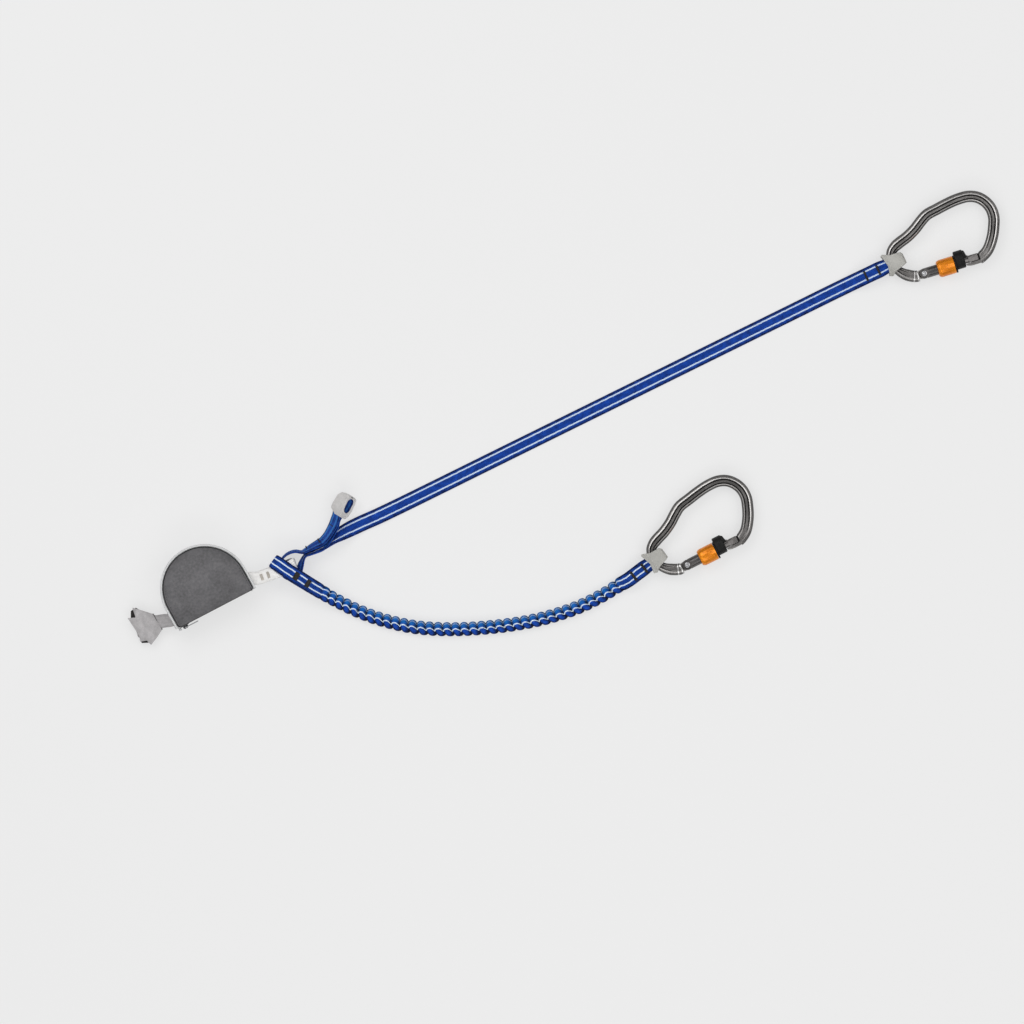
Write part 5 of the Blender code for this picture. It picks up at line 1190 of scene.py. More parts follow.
def rodMesh():
    size, wide, tall = carabiner["length"], carabiner["rodWidth"], carabiner["rodHeight"]
    spine = [(x * size, y * size, 0.0) for x, y in spineShares]
    start = carabiner["gateRadius"] + carabiner["hingeGap"] + carabiner["seenGap"]
    spine.insert(0, (-start, spine[0][1], 0.0))
    line = smoothLine(spine, size / carabiner["spineSteps"])
    forward = directionsOf(line)
    forward[0] = (-1.0, 0.0, 0.0)
    eyePoint = np.array((*carabiner["eyeShares"], 0.0)) * size
    wideness, tallness = carabiner["roundness"]
    depth = carabiner["groove"] / (tall / 2) + carabiner["grooveSink"]
    fade, last = carabiner["fadeSteps"], len(line) - 1
    shares = [math.cos(t) for t in np.linspace(0, math.pi, 37)]
    rings, marks = [], []
    for i, (point, ahead) in enumerate(zip(line, forward)):
        side = np.cross(up, ahead)
        near = max(0.0, 1 - np.linalg.norm(point - eyePoint) / (carabiner["waistReach"] * wide))
        halfWidth = (wide + (carabiner["rodWaist"] - wide) * min(1.0, 2 * near)) / 2
        groove = eased(min(1.0, i / fade, (last - i) / fade))
        ring, row = [], []
        for sign in (1, -1):
            for share in shares[:-1] if sign > 0 else shares[:0:-1]:
                # the hinge rings are marked for the painted highlight
                row.append((share, groove if i not in carabiner["bareAndLitRings"] else -1.0))
                inside = carabiner["grooveHalf"] - abs(share - carabiner["grooveShift"])
                rise = (1 - abs(share) ** wideness) ** (1 / tallness)
                rise -= groove * eased(clamp(inside / carabiner["grooveWall"])) * depth
                ring.append(point + side * share * halfWidth + up * sign * rise * tall / 2)
        rings.append(ring)
        marks.append(row)
    return loftMesh("loft", rings, "section", marks)


def marked(mesh, mark):  # the same place in the rod's section for every corner
    for corner in mesh.uv_layers.new(name="section").data:
        corner.uv = mark
    return mesh


def degreesAt(height, radius):
    return math.degrees(math.asin(height / radius))


def rivetHole():
    height = carabiner["rodHeight"]
    return barMesh(rivet["radius"] + fitGap, -height, height, 32)


def frameMesh():
    clear = gateLength + carabiner["hingeGap"] + fitGap / 2
    inner, low, lip, root = 0.75 * gateLength, nose["lipTop"], nose["lipThickness"], noseRoot
    angle = degreesAt(low, clear)
    mouth = [(inner, low)] + arcOf((0.0, 0.0), clear, angle, angle + mouthTurn, 22)
    mouth.append((inner, clear * math.sin(math.radians(angle + mouthTurn))))
    lipLine = [(lipStart + x * lip, low + y * lip) for x, y in ((0.0, -0.25), (0.12, -0.08), (0.4, 0.0))]
    lipLine += [(root, low), (root, low - lip)]
    for x, y in ((2, -1.0), (1.2, -0.93), (0.4, -0.7), (0.1, -0.5)):
        lipLine.append((lipStart + x * lip, low + y * lip))
    key = [(keyStart, low - 0.3 * lip), (keyStart, keyTop - 0.3 * lip), (keyStart + 0.3 * lip, keyTop)]
    key += [(root, keyTop), (root, low - 0.3 * lip)]
    angles = [degreesAt(end, gateLength) for end in (low - 0.3 * lip, 0.74 * carabiner["gateRadius"])]
    web = arcOf((0.0, 0.0), gateReach + fitGap / 2, *angles, 8)
    web += arcOf((0.0, 0.0), clear + fitGap, *reversed(angles), 8)  # dark as painted shade, behind the gate's end
    back = -(carabiner["gateRadius"] + carabiner["hingeGap"] + tongue["radius"])
    ear = arcOf((0.0, 0.0), tongue["radius"], 90, -90, 33)
    ear += [(back, -0.8 * tongue["radius"]), (back, 0.8 * tongue["radius"])]
    mesh = fused(
        cut(rodMesh(), plate(mouth, carabiner["rodHeight"])),
        rounded(plate(lipLine, nose["lipWidth"] / 2), soft["lip"], 3),
        plate(key, nose["keyThickness"] / 2),
        # marked at the rod's edge, so its finish paints the web as shade
        marked(plate(web, nose["keyThickness"] / 2 + 2 * fitGap), (1.0, 0.0)),
        plate(ear, tongue["thickness"] / 2),
    )
    return rounded(cut(mesh, rivetHole()), soft["all"], 2, 50)


def gateMesh():
    radius = carabiner["gateRadius"]
    start, half, far = 0.79 * gateLength, 0.86 * radius, 2 * radius
    low, top = nose["lipTop"] + fitGap, 0.82 * radius
    angles = [degreesAt(value, gateLength) for value in (low, top)]
    block = [(start, low)] + arcOf((0.0, 0.0), gateReach, *angles, 12) + [(start, top)]
    mesh = fused(
        rounded(barMesh(radius, 0.0, start + 0.02 * gateLength, 72, alongGate), soft["bar"]),
        rounded(barMesh(0.98 * radius, -drumHalf, drumHalf, 72), soft["drum"], 3),
        rounded(plate(block, half), soft["block"], 3),
    )
    slotRadius = tongue["radius"] + 2 * fitGap
    slot = arcOf((0.0, 0.0), slotRadius, 90, -90, 33)
    slot += [(0.0, -far), (-far, -far), (-far, far), (0.0, far)]
    keyHalf = nose["keyThickness"] / 2 + fitGap
    keyCorner = (keyStart - 2 * fitGap, nose["lipTop"] - radius, -keyHalf)
    mesh = cut(
        mesh,
        boxMesh((lipStart - 2 * fitGap, -far, -far), (2 * gateLength, low, far)),
        plate(slot, tongue["thickness"] / 2 + fitGap),
        barMesh(springs["bore"], slotRadius / 2, springs["boreEnd"], 32, alongGate),
        boxMesh(keyCorner, (gateLength + radius, keyTop + fitGap, keyHalf)),
        rivetHole(),
    )
    return rounded(mesh, soft["all"], 2, 50)


def rivetMesh():
    seat = drumHalf + fitGap
    head, rise = rivet["headRadius"], rivet["headThickness"]
    dots = [(0.0, 0.72), (0.28, 0.74), (0.42, 1.0), (0.72, 1.0), (0.92, 0.7), (1.0, 0.35), (1.0, 0.0)]
    half = [(x * head, seat + z * rise) for x, z in dots] + [(rivet["radius"], seat)]
    return turnedMesh(mirrored(half), 40)


def plungerMesh():
    tip, radius = tongue["radius"] + fitGap, springs["plungerRadius"]
    end = tip + springs["plungerLength"]
    profile = [(0.0, tip), (0.6 * radius, tip), (radius, tip + 0.4 * radius), (radius, end), (0.0, end)]
    return turnedMesh(profile, 28, False, alongGate)


def springMesh(radius, start, end, wire):
    turns = springs["turns"]
    angles = np.linspace(0, 2 * math.pi * turns, turns * 28 + 1)
    along = np.linspace(start, end, len(angles))
    points = np.column_stack((along, radius * np.cos(angles), radius * np.sin(angles)))
    return wireMesh(points, wire / 2, 2)


def gateSpringMesh():
    wire = springs["gateWire"]
    start = tongue["radius"] + 2 * fitGap + springs["plungerLength"] + wire / 2
    end = springs["boreEnd"] - fitGap - wire / 2
    return springMesh(springs["bore"] - fitGap - wire / 2, start, end, wire)


def sleeveSpringMesh():
    wire = springs["sleeveWire"]
    start = sleeve["start"] + sleeve["chamfer"] + wire
    end = sleeve["end"] - sleeve["wall"] - fitGap - wire / 2
    return springMesh(sleeve["bore"] + wire / 2 + fitGap / 2, start, end, wire)


def sleeveMesh():
    bore, radius, wall = sleeve["bore"], sleeve["radius"], sleeve["wall"]
    start, end, chamfer = sleeve["start"], sleeve["end"], sleeve["chamfer"]
    profile = [
        (bore, start),
        (bore + 2 * wall / 3, start),
        (bore + 0.62 * (radius - bore), start + 0.14 * chamfer),
        (0.93 * radius, start + 0.5 * chamfer),
        (0.985 * radius, start + 0.8 * chamfer),
        (radius, start + 1.1 * chamfer),
        (radius, end - 0.16 * chamfer),
        (0.965 * radius, end),
        (bore, end),
        (bore, end - wall),
        (radius - wall, end - wall),
        (radius - wall, start + chamfer),
        (bore, start + wall),
    ]
    mesh = turnedMesh(profile, 96, True, alongGate)
    for vert in mesh.vertices:  # shallow flutes to grip
        x, y, z = vert.co
        if math.hypot(y, z) > 0.97 * radius and start + chamfer < x < end:
            turn = math.atan2(z, y) * sleeve["flutes"]
            fall = 1 - sleeve["fluteDepth"] * (0.5 + 0.5 * math.cos(turn))
            vert.co = (x, y * fall, z * fall)
    mesh.update()
    return mesh


def collarMesh():
    bore, start = sleeve["bore"], sleeve["end"] + fitGap
    camStart = start + sleeve["flange"]
    camEnd = camStart + sleeve["camShare"] * gateLength
    disc = rounded(barMesh(sleeve["radius"], start, camStart, 80, alongGate), soft["disc"], 3)
    cam = rounded(barMesh(sleeve["camRadius"], camStart - fitGap, camEnd, 72, alongGate), soft["cam"], 4)
    length, half = sleeve["catchShare"] * gateLength, sleeve["catchHalfWidth"]
    top = sleeve["camOffset"] + 0.86 * sleeve["camRadius"]
    catch = [(-1.0, 0.9 * half), (0.9, 0.9 * half), (1.0, 1.3 * half)]
    catch += [(0.6, top - 0.2 * half), (0.2, top), (-1.0, top)]
    catch = [(camEnd + x * length, y) for x, y in catch]
    cam = shifted(cam, 0.0, sleeve["camOffset"], 0.0)
    mesh = fused(disc, cam, rounded(plate(catch, half), soft["catch"], 3))
    return cut(mesh, barMesh(bore, start - bore, camEnd + bore, 72, alongGate))


# name, what makes it, finish, slot, body of the side it rides on
carabinerPieces = [
    ("carabiner_frame", frameMesh, anodised, "grey_anodised_aluminium", "carabiner"),
    ("gate_rivet", rivetMesh, brightSteel, "bright_steel", "carabiner"),
    ("gate", gateMesh, gateAnodised, "grey_anodised_aluminium", "gate"),
    ("gate_plunger", plungerMesh, brightSteel, "bright_steel", "gate"),
    ("gate_spring", gateSpringMesh, brightSteel, "bright_steel", "gate"),
    ("sleeve_spring", sleeveSpringMesh, brightSteel, "bright_steel", "gate"),
    ("locking_sleeve", sleeveMesh, orangeSleeve, "orange_anodised_sleeve", "sleeve"),
    ("catch_collar", collarMesh, blackPlastic, "black_plastic", "sleeve"),
]


def sideFrame(side):
    place, heading = sides[side]["eye"], sides[side]["arm"]
    turn = turnBy(sides[side]["gate"], "Z")
    offset = turn @ Vector((*carabiner["eyeShares"], 0.0)) * carabiner["length"]
    rod = spot(*place, carabiner["height"]) - headingOf(heading) * carabiner["rodSeat"]
    return Matrix.Translation(Vector(rod) - offset) @ turn


for pieceName, maker, pieceFinish, slotName, part in carabinerPieces:
    made = maker()
    for side in sides:
        piece = shown(f"{side}_{pieceName}_shape", moved(made.copy(), sideFrame(side)), pieceFinish, 32)
        dress(piece, f"{side}_{part}", slotName, f"{side}_{pieceName}")
print("carabiners made")

# Rubber protectors round the eyes. Outlines are shares of their length: along the arm, across.
protector = {"length": 0.0192, "halfHeight": 0.0090, "voxel": 0.00036}
protectorPlan = [
    (-0.377, 0.613), (-0.028, 0.425), (0.28, 0.385), (0.50, 0.34), (0.578, 0.22), (0.578, -0.259),
    (0.43, -0.32), (-0.12, -0.436), (-0.288, -0.581), (-0.46, -0.50), (-0.402, -0.258),
    (-0.347, -0.038), (-0.409, 0.338), (-0.46, 0.55),
]
restPlan = [
    (-0.42, 0.43), (-0.17, 0.40), (0.30, 0.36), (0.50, 0.22), (0.56, 0.0),
    (0.54, -0.24), (0.46, -0.36), (-0.46, -0.42), (-0.64, -0.36), (-0.62, 0.06),
]
protectorSide = [(0.60, 0.50), (0.50, 0.86), (0.30, 1.0), (-0.18, 1.0), (-0.36, 0.80), (-0.52, 0.72)]
restSide = [*protectorSide[:4], (-0.36, 0.86), (-0.66, 0.60)]


def softened(mesh, rounds):  # moulded rubber has no sharp edge
    mesh = shaped(mesh, "REMESH", mode="VOXEL", voxel_size=protector["voxel"])
    return shaped(mesh, "SMOOTH", factor=0.5, iterations=rounds)


def mouthOf(neck, inner, radius):  # the way in for the webbing
    return mirrored([(neck, layer + 2 * fitGap), (inner, radius - fitGap / 2)])


def protectorMesh(plan, sidePlan, halfHeight, cavity, mouth, depth, mouthDepth):
    size = protector["length"]
    top = [(x * size, z * halfHeight) for x, z in sidePlan]
    mesh = plate([(x * size, y * size) for x, y in plan], halfHeight)
    mesh = cut(mesh, plate(mirrored(top), size, acrossArm), operation="INTERSECT")
    return cut(mesh, plate(cavity, depth, acrossArm), plate(mouth, mouthDepth, acrossArm))


def carabinerProtector():
    radius = eye["radius"] + lay["thickness"] + fitGap
    cavity = arcOf((0.0, 0.0), radius, 0, 355, 72)
    mouth = mouthOf(-eye["sewnStart"], -0.3 * radius, radius)
    depths = (protector["length"], lay["width"] / 2 + fitGap)
    plans = (protectorPlan, protectorSide)
    return softened(protectorMesh(*plans, protector["halfHeight"], cavity, mouth, *depths), 5)


def restProtector():
    radius, ends = rest["eyeHalfWidth"] + lay["thickness"] + fitGap, rest["ends"]
    cavity = arcOf((ends, 0.0), radius, 90, -90, 33) + arcOf((-ends, 0.0), radius, 270, 90, 33)
    mouth = mouthOf(-rest["neckEnd"], -ends - 0.3 * radius, radius)
    depth = eye["webbingWidth"] / 2 + fitGap
    mesh = protectorMesh(restPlan, restSide, radius + rest["wall"], cavity, mouth, depth, depth + fitGap)
    seen = radius - rest["lip"]  # the opening between the lips that hold the webbing
    hole = arcOf((ends, 0.0), seen, 90, -90, 33) + arcOf((-0.65 * ends, 0.0), seen, 270, 90, 33)
    return softened(cut(mesh, plate(hole, protector["length"], acrossArm)), 9)


def makeProtectors():
    cup = carabinerProtector()
    for side in sides:
        where = Matrix.Translation(spot(*sides[side]["eye"], carabiner["height"]))
        where = where @ turnBy(sides[side]["arm"], "Z")
        piece = shown(f"{side}_protector_shape", moved(cup.copy(), where), paleRubber, 60)
        dress(piece, "lanyard", "light_grey_rubber", f"{side}_protector")
    ahead, wide, lift, middle = restFrame()
    where = Matrix(np.column_stack((ahead, -wide, lift)).tolist()).to_4x4()
    where.translation = Vector(middle)
    piece = shown("rest_protector_shape", moved(restProtector(), where), restRubber, 60)
    dress(piece, "lanyard", "light_grey_rubber", "rest_branch_protector")


makeProtectors()
print("protectors made")

# Pouch, in a frame at the middle of its base: X along the base, Y up the arch
pouch = {
    "base": (215.4, 608.4),
    "width": 0.0805,
    "side": 0.0209,
    "depth": 0.0310,
    "panel": 0.0020,
    "panelEdge": 0.0005,
    "dome": 0.0034,
    "domeTop": 0.93,
    "rim": (0.94, 0.06),  # where it starts, and how wide it is
    "rimDrop": 0.30,
    "middleShare": 0.42,
    "crease": 0.00022,
    "corner": 0.0030,
    "gussetProud": 0.0024,
    "gussetWall": 0.0013,
    "turnIn": 0.0030,
    "piping": 0.0010,
    "entry": 0.0100,
    "strapWidth": 0.0130,
    "sagAlong": 0.0019,
    "sagDown": 0.0011,
    "stitch": (0.0009, 0.00022, 0.00018),
    "stitchPitch": 0.0026,
    "stitchInset": 0.0026,
    "stitchRise": 0.155,
}
pouchFrame = Matrix.Translation(spot(*pouch["base"])) @ turnBy(pouchHeading, "Z")
pouchAcross = np.array(pouchFrame.to_3x3() @ Vector((0.0, 1.0, 0.0)))
strapHeight = pouch["depth"] / 2
seamLow = pouch["panel"] + fitGap
seamHigh = pouch["depth"] - pouch["panel"] - pouch["rimDrop"] * pouch["dome"] - fitGap


def pouchPoint(x, z):  # in the strap's entry
    return np.array(pouchFrame @ Vector((x, pouch["entry"], z)))


def flipped(points):
    return [(-x, y) for x, y in reversed(points)]


def archLine(grow):
    half = pouch["width"] / 2 + grow
    side = [(half, y) for y in np.linspace(0.0, pouch["side"], 16)[:-1]]
    return side + arcOf((0.0, pouch["side"]), half, 0, 180, 91) + flipped(side)


def panelOutline():
    middle = pouch["width"] / 2 - pouch["corner"]
    corner = arcOf((middle, pouch["corner"]), pouch["corner"], -90, 0, 9)
    around = [(x, y) for x, y in archLine(0.0) if y > pouch["corner"] + 0.0004]
    base = [(x, 0.0) for x in np.linspace(-middle, middle, 40)[1:-1]]
    return corner + around + flipped(corner) + base


def ripple(x, y, seed):  # slow unevenness of a cloth face, always the same
    total = 0.0
    for k in range(1, 6):
        angle = seed * 1.7 + k * 2.4
        wave = (x * math.cos(angle) + y * math.sin(angle)) * (70 + 45 * k)
        total += math.sin(wave + k * seed) / (k + 0.6)
    return total / 2.2


def panelMesh(front):
    outline = panelOutline()
    middle = (0.0, pouch["middleShare"] * (pouch["side"] + pouch["width"] / 2))
    rimStart, rimWidth = pouch["rim"]
    rings, marks = [], []
    for share in list(np.linspace(1.0, rimStart, 5)) + list(np.linspace(0.92, 0.06, 24)):
        ring, row = [], []
        for x, y in outline:
            px, py = middle[0] + (x - middle[0]) * share, middle[1] + (y - middle[1]) * share
            height = 0.0
            if front:
                rim = max(0.0, (share - rimStart) / rimWidth)
                crown = (1 - share**3.2) - pouch["rimDrop"] * rim**1.6
                crease = pouch["crease"] * ripple(px, py, 2.0) * (1 - rim)
                height = pouch["depth"] + pouch["dome"] * min(pouch["domeTop"], crown) + crease
            ring.append((px, py, height))
            row.append((share, math.atan2(py - middle[1], px - middle[0]) * 0.03))
        rings.append(ring)
        marks.append(row)
    mesh = loftMesh("panel", rings, "strap", marks, tip=(*middle, rings[-1][0][2]))
    mesh = shaped(mesh, "SOLIDIFY", thickness=pouch["panel"], offset=-1.0 if front else 1.0)
    return rounded(mesh, pouch["panelEdge"], 3, 50)


def panelFinish():
    finish = clothFinish("pouchPanelCloth", (98, 97, 99), spread=0.36)
    share = finish.strap("strap")[0]
    base = finish.shader.inputs["Base Color"].links[0].from_socket
    # painted shadow: a dark line where the panel meets the band, and painted shade growing towards the rim
    rim = ((share - 0.968) * 90.0).clipped().most(((share - 0.72) * 0.8).clipped())
    x, y, z = finish.parts(finish.place())
    slant = math.radians(pouchHeading)
    foot = spot(*pouch["base"])
    rise = (y - float(foot[1])) * math.cos(slant) - (x - float(foot[0])) * math.sin(slant)
    # painted shade: darker towards the base, in patches
    low = ((0.024 - rise) * 14.0).clipped() * 0.60
    cloud = finish.noise(finish.place(), 160.0, 2.0)
    shade = rim.most(low * (cloud * 1.6 - 0.1).clipped())
    finish.feed("Base Color", finish.mix(shade, base, paint(24, 24, 26)))
    return finish


panelCloth = panelFinish()


def gussetMesh():
    low, high, wall, proud = seamLow, seamHigh, pouch["gussetWall"], pouch["gussetProud"]
    middle = (low + high) / 2
    outside = []
    for t in np.linspace(-90, 90, 19):
        c, s = math.cos(math.radians(t)), math.sin(math.radians(t))
        bow = math.copysign(abs(s) ** 0.55, s)
        outside.append((0.45 * proud + 0.55 * proud * c**0.45, middle + (high - low) / 2 * bow))
    thin = 1 - 2 * wall / (high - low)
    inside = [(grow - 0.9 * wall, middle + (z - middle) * thin) for grow, z in outside]
    turned = -pouch["turnIn"]
    section = [(turned, low), *outside, (turned, high), (turned, high - wall)]
    section += [*reversed(inside), (turned, low + wall)]
    lines = [archLine(grow) for grow, _ in section]
    rings = [
        [(*lines[k][i], height) for k, (_, height) in enumerate(section)] for i in range(len(lines[0]))
    ]
    mesh = loftMesh("loft", rings)
    reach = pouch["width"] / 2 + 2 * proud
    inner = pouch["width"] / 2 - 2 * pouch["turnIn"]
    half = pouch["strapWidth"] / 2 + 2 * fitGap
    for sign, layers in ((-1, 1), (1, 3)):  # slots for the straps
        tall = (layers * layer + 2 * fitGap) / 2
        centre = strapHeight + (layer / 2 if sign < 0 else 0.0)
        start, end = sorted((sign * inner, sign * reach))
        corner = (start, pouch["entry"] - half, centre - tall)
        mesh = cut(mesh, boxMesh(corner, (end, pouch["entry"] + half, centre + tall)))
    return mesh


def sagged(mesh):  # the front hangs over the base and to the right
    top = pouch["side"] + pouch["width"] / 2
    for vert in mesh.vertices:
        high = vert.co.z / pouch["depth"]
        share = min(1.1, max(0.0, high)) * (1 - 0.8 * vert.co.y / top)
        vert.co.x += pouch["sagAlong"] * share
        vert.co.y -= pouch["sagDown"] * share * clamp(high * 3 - 2)
    mesh.update()
    return mesh


def onPouch(name, mesh, finish, slotName, *nodes, sharp=60):
    return dress(shown(name, moved(mesh, pouchFrame), finish, sharp), "lanyard", slotName, *nodes)


def makePouch():
    onPouch("pouchFront", sagged(panelMesh(True)), panelCloth, "dark_grey_fabric", "pouch_front_panel")
    onPouch("pouchBack", panelMesh(False), panelCloth, "dark_grey_fabric", "pouch_back_panel")
    onPouch("pouchBand", sagged(gussetMesh()), bandCloth, "pale_grey_fabric", "pouch_gusset", sharp=50)
    piping = pouch["piping"]
    for name, height in (("front", seamHigh + fitGap + piping), ("back", seamLow - fitGap - piping)):
        mesh = sagged(wireMesh([(x, y, height) for x, y in archLine(piping + fitGap)], piping, 4))
        onPouch(f"pouchPiping_{name}", mesh, bandCloth, "pale_grey_fabric", f"pouch_{name}_piping")
    height = pouch["depth"] + pouch["dome"] * pouch["stitchRise"]
    line = [(x, y, height) for x, y in archLine(-pouch["stitchInset"])]
    stitches = sagged(rowMesh(line, thread, pouch["stitchPitch"], pouch["stitch"], blackThread))
    stitches = joined("pouchStitches", [moved(stitches, pouchFrame)], blackThread, 80)
    dress(stitches, "lanyard", "black_thread")


makePouch()

# Zip along the base: tapes, teeth, slider and pull
zipper = {
    "tooth": 0.0013,
    "toothShare": 0.55,
    "count": 30,
    "bar": 0.0011,
    "depth": 0.0016,
    "parting": 0.0014,
    "margin": 0.0035,
    "tape": 0.0008,
    "sliderLength": 0.0080,
    "plate": 0.0012,
    "post": 0.0008,
    "bailHeight": 0.0026,
    "bailLength": 0.0050,
    "bailThickness": 0.0018,
    "pullLength": 0.0132,
    "pullWidth": 0.0050,
    "pullThickness": 0.0009,
    "gripRadius": 0.0009,
    "gripEnd": 0.0024,
    "pinRadius": 0.0006,
    "tabProud": 0.0036,
    "tabSeat": 0.0010,
    "tabHalfHeight": 0.0066,
    "soft": {"cloth": 0.0002, "bar": 0.0003, "tab": 0.0009, "plate": 0.00035, "pull": 0.00018},
}
zipHalf = pouch["width"] / 2 - zipper["margin"]
zipRow = zipper["parting"] / 2 + zipper["tooth"] + zipper["bar"]


def toothPiece():
    outline = [(-0.5, 0.0), (-0.42, 0.62), (-0.3, 1.0), (0.3, 1.0), (0.42, 0.62), (0.5, 0.0)]
    return unitPiece("tooth", rounded(plate(outline, 0.5, acrossArm), 0.09, 1))


def makeZip():
    soft, pitch, depth = zipper["soft"], 2 * zipHalf / zipper["count"], zipper["depth"]
    root, inner = zipper["parting"] / 2 + zipper["tooth"], zipRow + fitGap
    tooth = toothPiece()
    where = pouchFrame @ Matrix.Translation((0.0, 0.0, strapHeight))
    for name, sign, late in (("upper", 1, 0), ("lower", -1, 1)):  # the lower row is half a tooth late
        first = -zipHalf + late * pitch / 2 + pitch / 2
        line = np.linspace(first, first + pitch * (zipper["count"] - 1 - late), 60)
        points = [(x, depth / 2, sign * root) for x in line]
        size = (zipper["toothShare"] * pitch, depth, -sign * zipper["tooth"])
        teeth = rowMesh(points, tooth, pitch * 0.9999, size, blackPlastic)
        low, high = sorted((sign * root, sign * zipRow))
        bar = boxMesh((-zipHalf, 0.0001, low), (zipHalf, depth - 0.0001, high))
        meshes = [moved(merged(mesh), where) for mesh in (teeth, rounded(bar, soft["bar"]))]
        piece = joined(f"zipTeeth_{name}", meshes, blackPlastic, 40)
        dress(piece, "lanyard", "dark_grey_fabric", f"zip_teeth_{name}")
    back = (depth - zipper["tape"]) / 2
    tapes = {"upper": (strapHeight + inner, seamHigh), "lower": (seamLow, strapHeight - inner)}
    for name, (low, high) in tapes.items():
        box = boxMesh((-zipHalf, back, low), (zipHalf, back + zipper["tape"], high))
        tape = rounded(box, soft["cloth"])
        onPouch(f"zipTape_{name}", tape, tapeCloth, "dark_grey_fabric", f"zip_tape_{name}", sharp=35)
    corners = []
    rim = pouch["width"] / 2 + 0.5 * pouch["gussetProud"]
    for sign in (-1, 1):  # cloth that closes the corners of the base
        left, right = sorted((sign * (zipHalf + fitGap), sign * rim))
        low, high = (left, 1.5 * zipper["tape"], seamLow), (right, 2.5 * zipper["tape"], seamHigh)
        corners.append(moved(rounded(boxMesh(low, high), soft["cloth"]), pouchFrame))
    dress(joined("zipCorners", corners, bandCloth), "lanyard", "pale_grey_fabric")
    start, half = -pouch["width"] / 2 + 0.3 * zipper["margin"], zipper["tabHalfHeight"]
    low = (start, -zipper["tabProud"], strapHeight - half)
    tab = rounded(boxMesh(low, (-zipHalf - fitGap, zipper["tabSeat"], strapHeight + half)), soft["tab"], 4)
    onPouch("zipEndTab", tab, bandCloth, "pale_grey_fabric", "zip_end_tab")


def sliderPlateMesh(near, far):
    half, wide = zipper["sliderLength"] / 2, zipRow + 4 * fitGap
    outline = mirrored([(-half, -0.9 * wide), (-0.5 * half, -wide), (half, -0.8 * wide)])
    mesh = rounded(plate(outline, abs(far - near) / 2, acrossArm), zipper["soft"]["plate"], 3)
    return shifted(mesh, 0.0, (near + far) / 2, 0.0)


def makeSlider():
    outer, inner = -fitGap, zipper["depth"] + fitGap
    thick, half, post = zipper["plate"], zipper["sliderLength"] / 2, zipper["post"]
    foot, start = outer - thick, -0.84 * half
    reach, rise = zipper["bailLength"] / 2, zipper["bailHeight"]
    bail = [(-1.0, 0.5 * thick), (-1.0, -0.55 * rise), (-0.8, -0.8 * rise), (-0.52, -rise)]
    bail = [(x * reach, foot + y) for x, y in bail]
    pullAxis = foot - 0.58 * rise
    mesh = fused(
        sliderPlateMesh(foot, outer),
        boxMesh((start, outer - thick / 2, -post / 2), (start + 2.5 * post, inner + thick / 2, post / 2)),
        sliderPlateMesh(inner, inner + thick),
        rounded(plate(bail + flipped(bail), zipper["bailThickness"] / 2), zipper["soft"]["bar"]),
    )
    hole = barMesh(zipper["pinRadius"] + fitGap / 2, -0.004, 0.004, 24)
    mesh = cut(mesh, shifted(hole, 0.0, pullAxis, 0.0))
    where = pouchFrame @ Matrix.Translation((fitGap + half - zipHalf, 0.0, strapHeight))
    piece = shown("zipSliderShape", moved(mesh, where), darkSteel, 32)
    dress(piece, "zip_slider", "bright_steel", "zip_slider")
    thick, half = zipper["pullThickness"], zipper["pullWidth"] / 2
    back = 0.9 * thick
    windowHalf, windowEnd = zipper["bailThickness"] / 2 + fitGap, reach + 2 * fitGap
    grip = barMesh(zipper["gripRadius"], -thick, thick, 24, acrossArm)
    pull = cut(
        boxMesh((-back, -thick / 2, -half), (zipper["pullLength"], thick / 2, half)),
        boxMesh((-back - thick, -thick, -windowHalf), (windowEnd, thick, windowHalf)),
        shifted(grip, zipper["pullLength"] - zipper["gripEnd"], 0.0, 0.0),
    )
    pin = barMesh(zipper["pinRadius"], -0.8 * half, 0.8 * half, 24)
    pull = fused(rounded(pull, zipper["soft"]["pull"]), pin)
    where = where @ Matrix.Translation((0.0, pullAxis, 0.0))
    dress(shown("zipPullShape", moved(pull, where), brightSteel, 32), "zip_pull", "bright_steel", "zip_pull")


makeZip()
makeSlider()
print("pouch and zip made")

# Arm side loop: out of the pouch on top of the tail, round its end, and back in under it
armLoop = {
    "over": [  # place, and the share of the way from the pouch's height to the loop's
        (258.0, 578.2, 0.25), (268.0, 575.0, 0.8), (278.0, 571.6, 1.0), (287.0, 568.4, 1.0),
        (292.5, 566.0, 1.0),
    ],
    "under": [
        (292.0, 564.4, 1.0), (284.0, 567.6, 1.0), (275.0, 571.4, 1.0), (266.0, 575.0, 0.62),
        (258.0, 577.8, 0.2),
    ],
    "end": (295.5, 564.0),
    "heading": 19.0,
    "width": 0.0120,
    "inside": 0.0110,
    "corner": 0.0030,
}


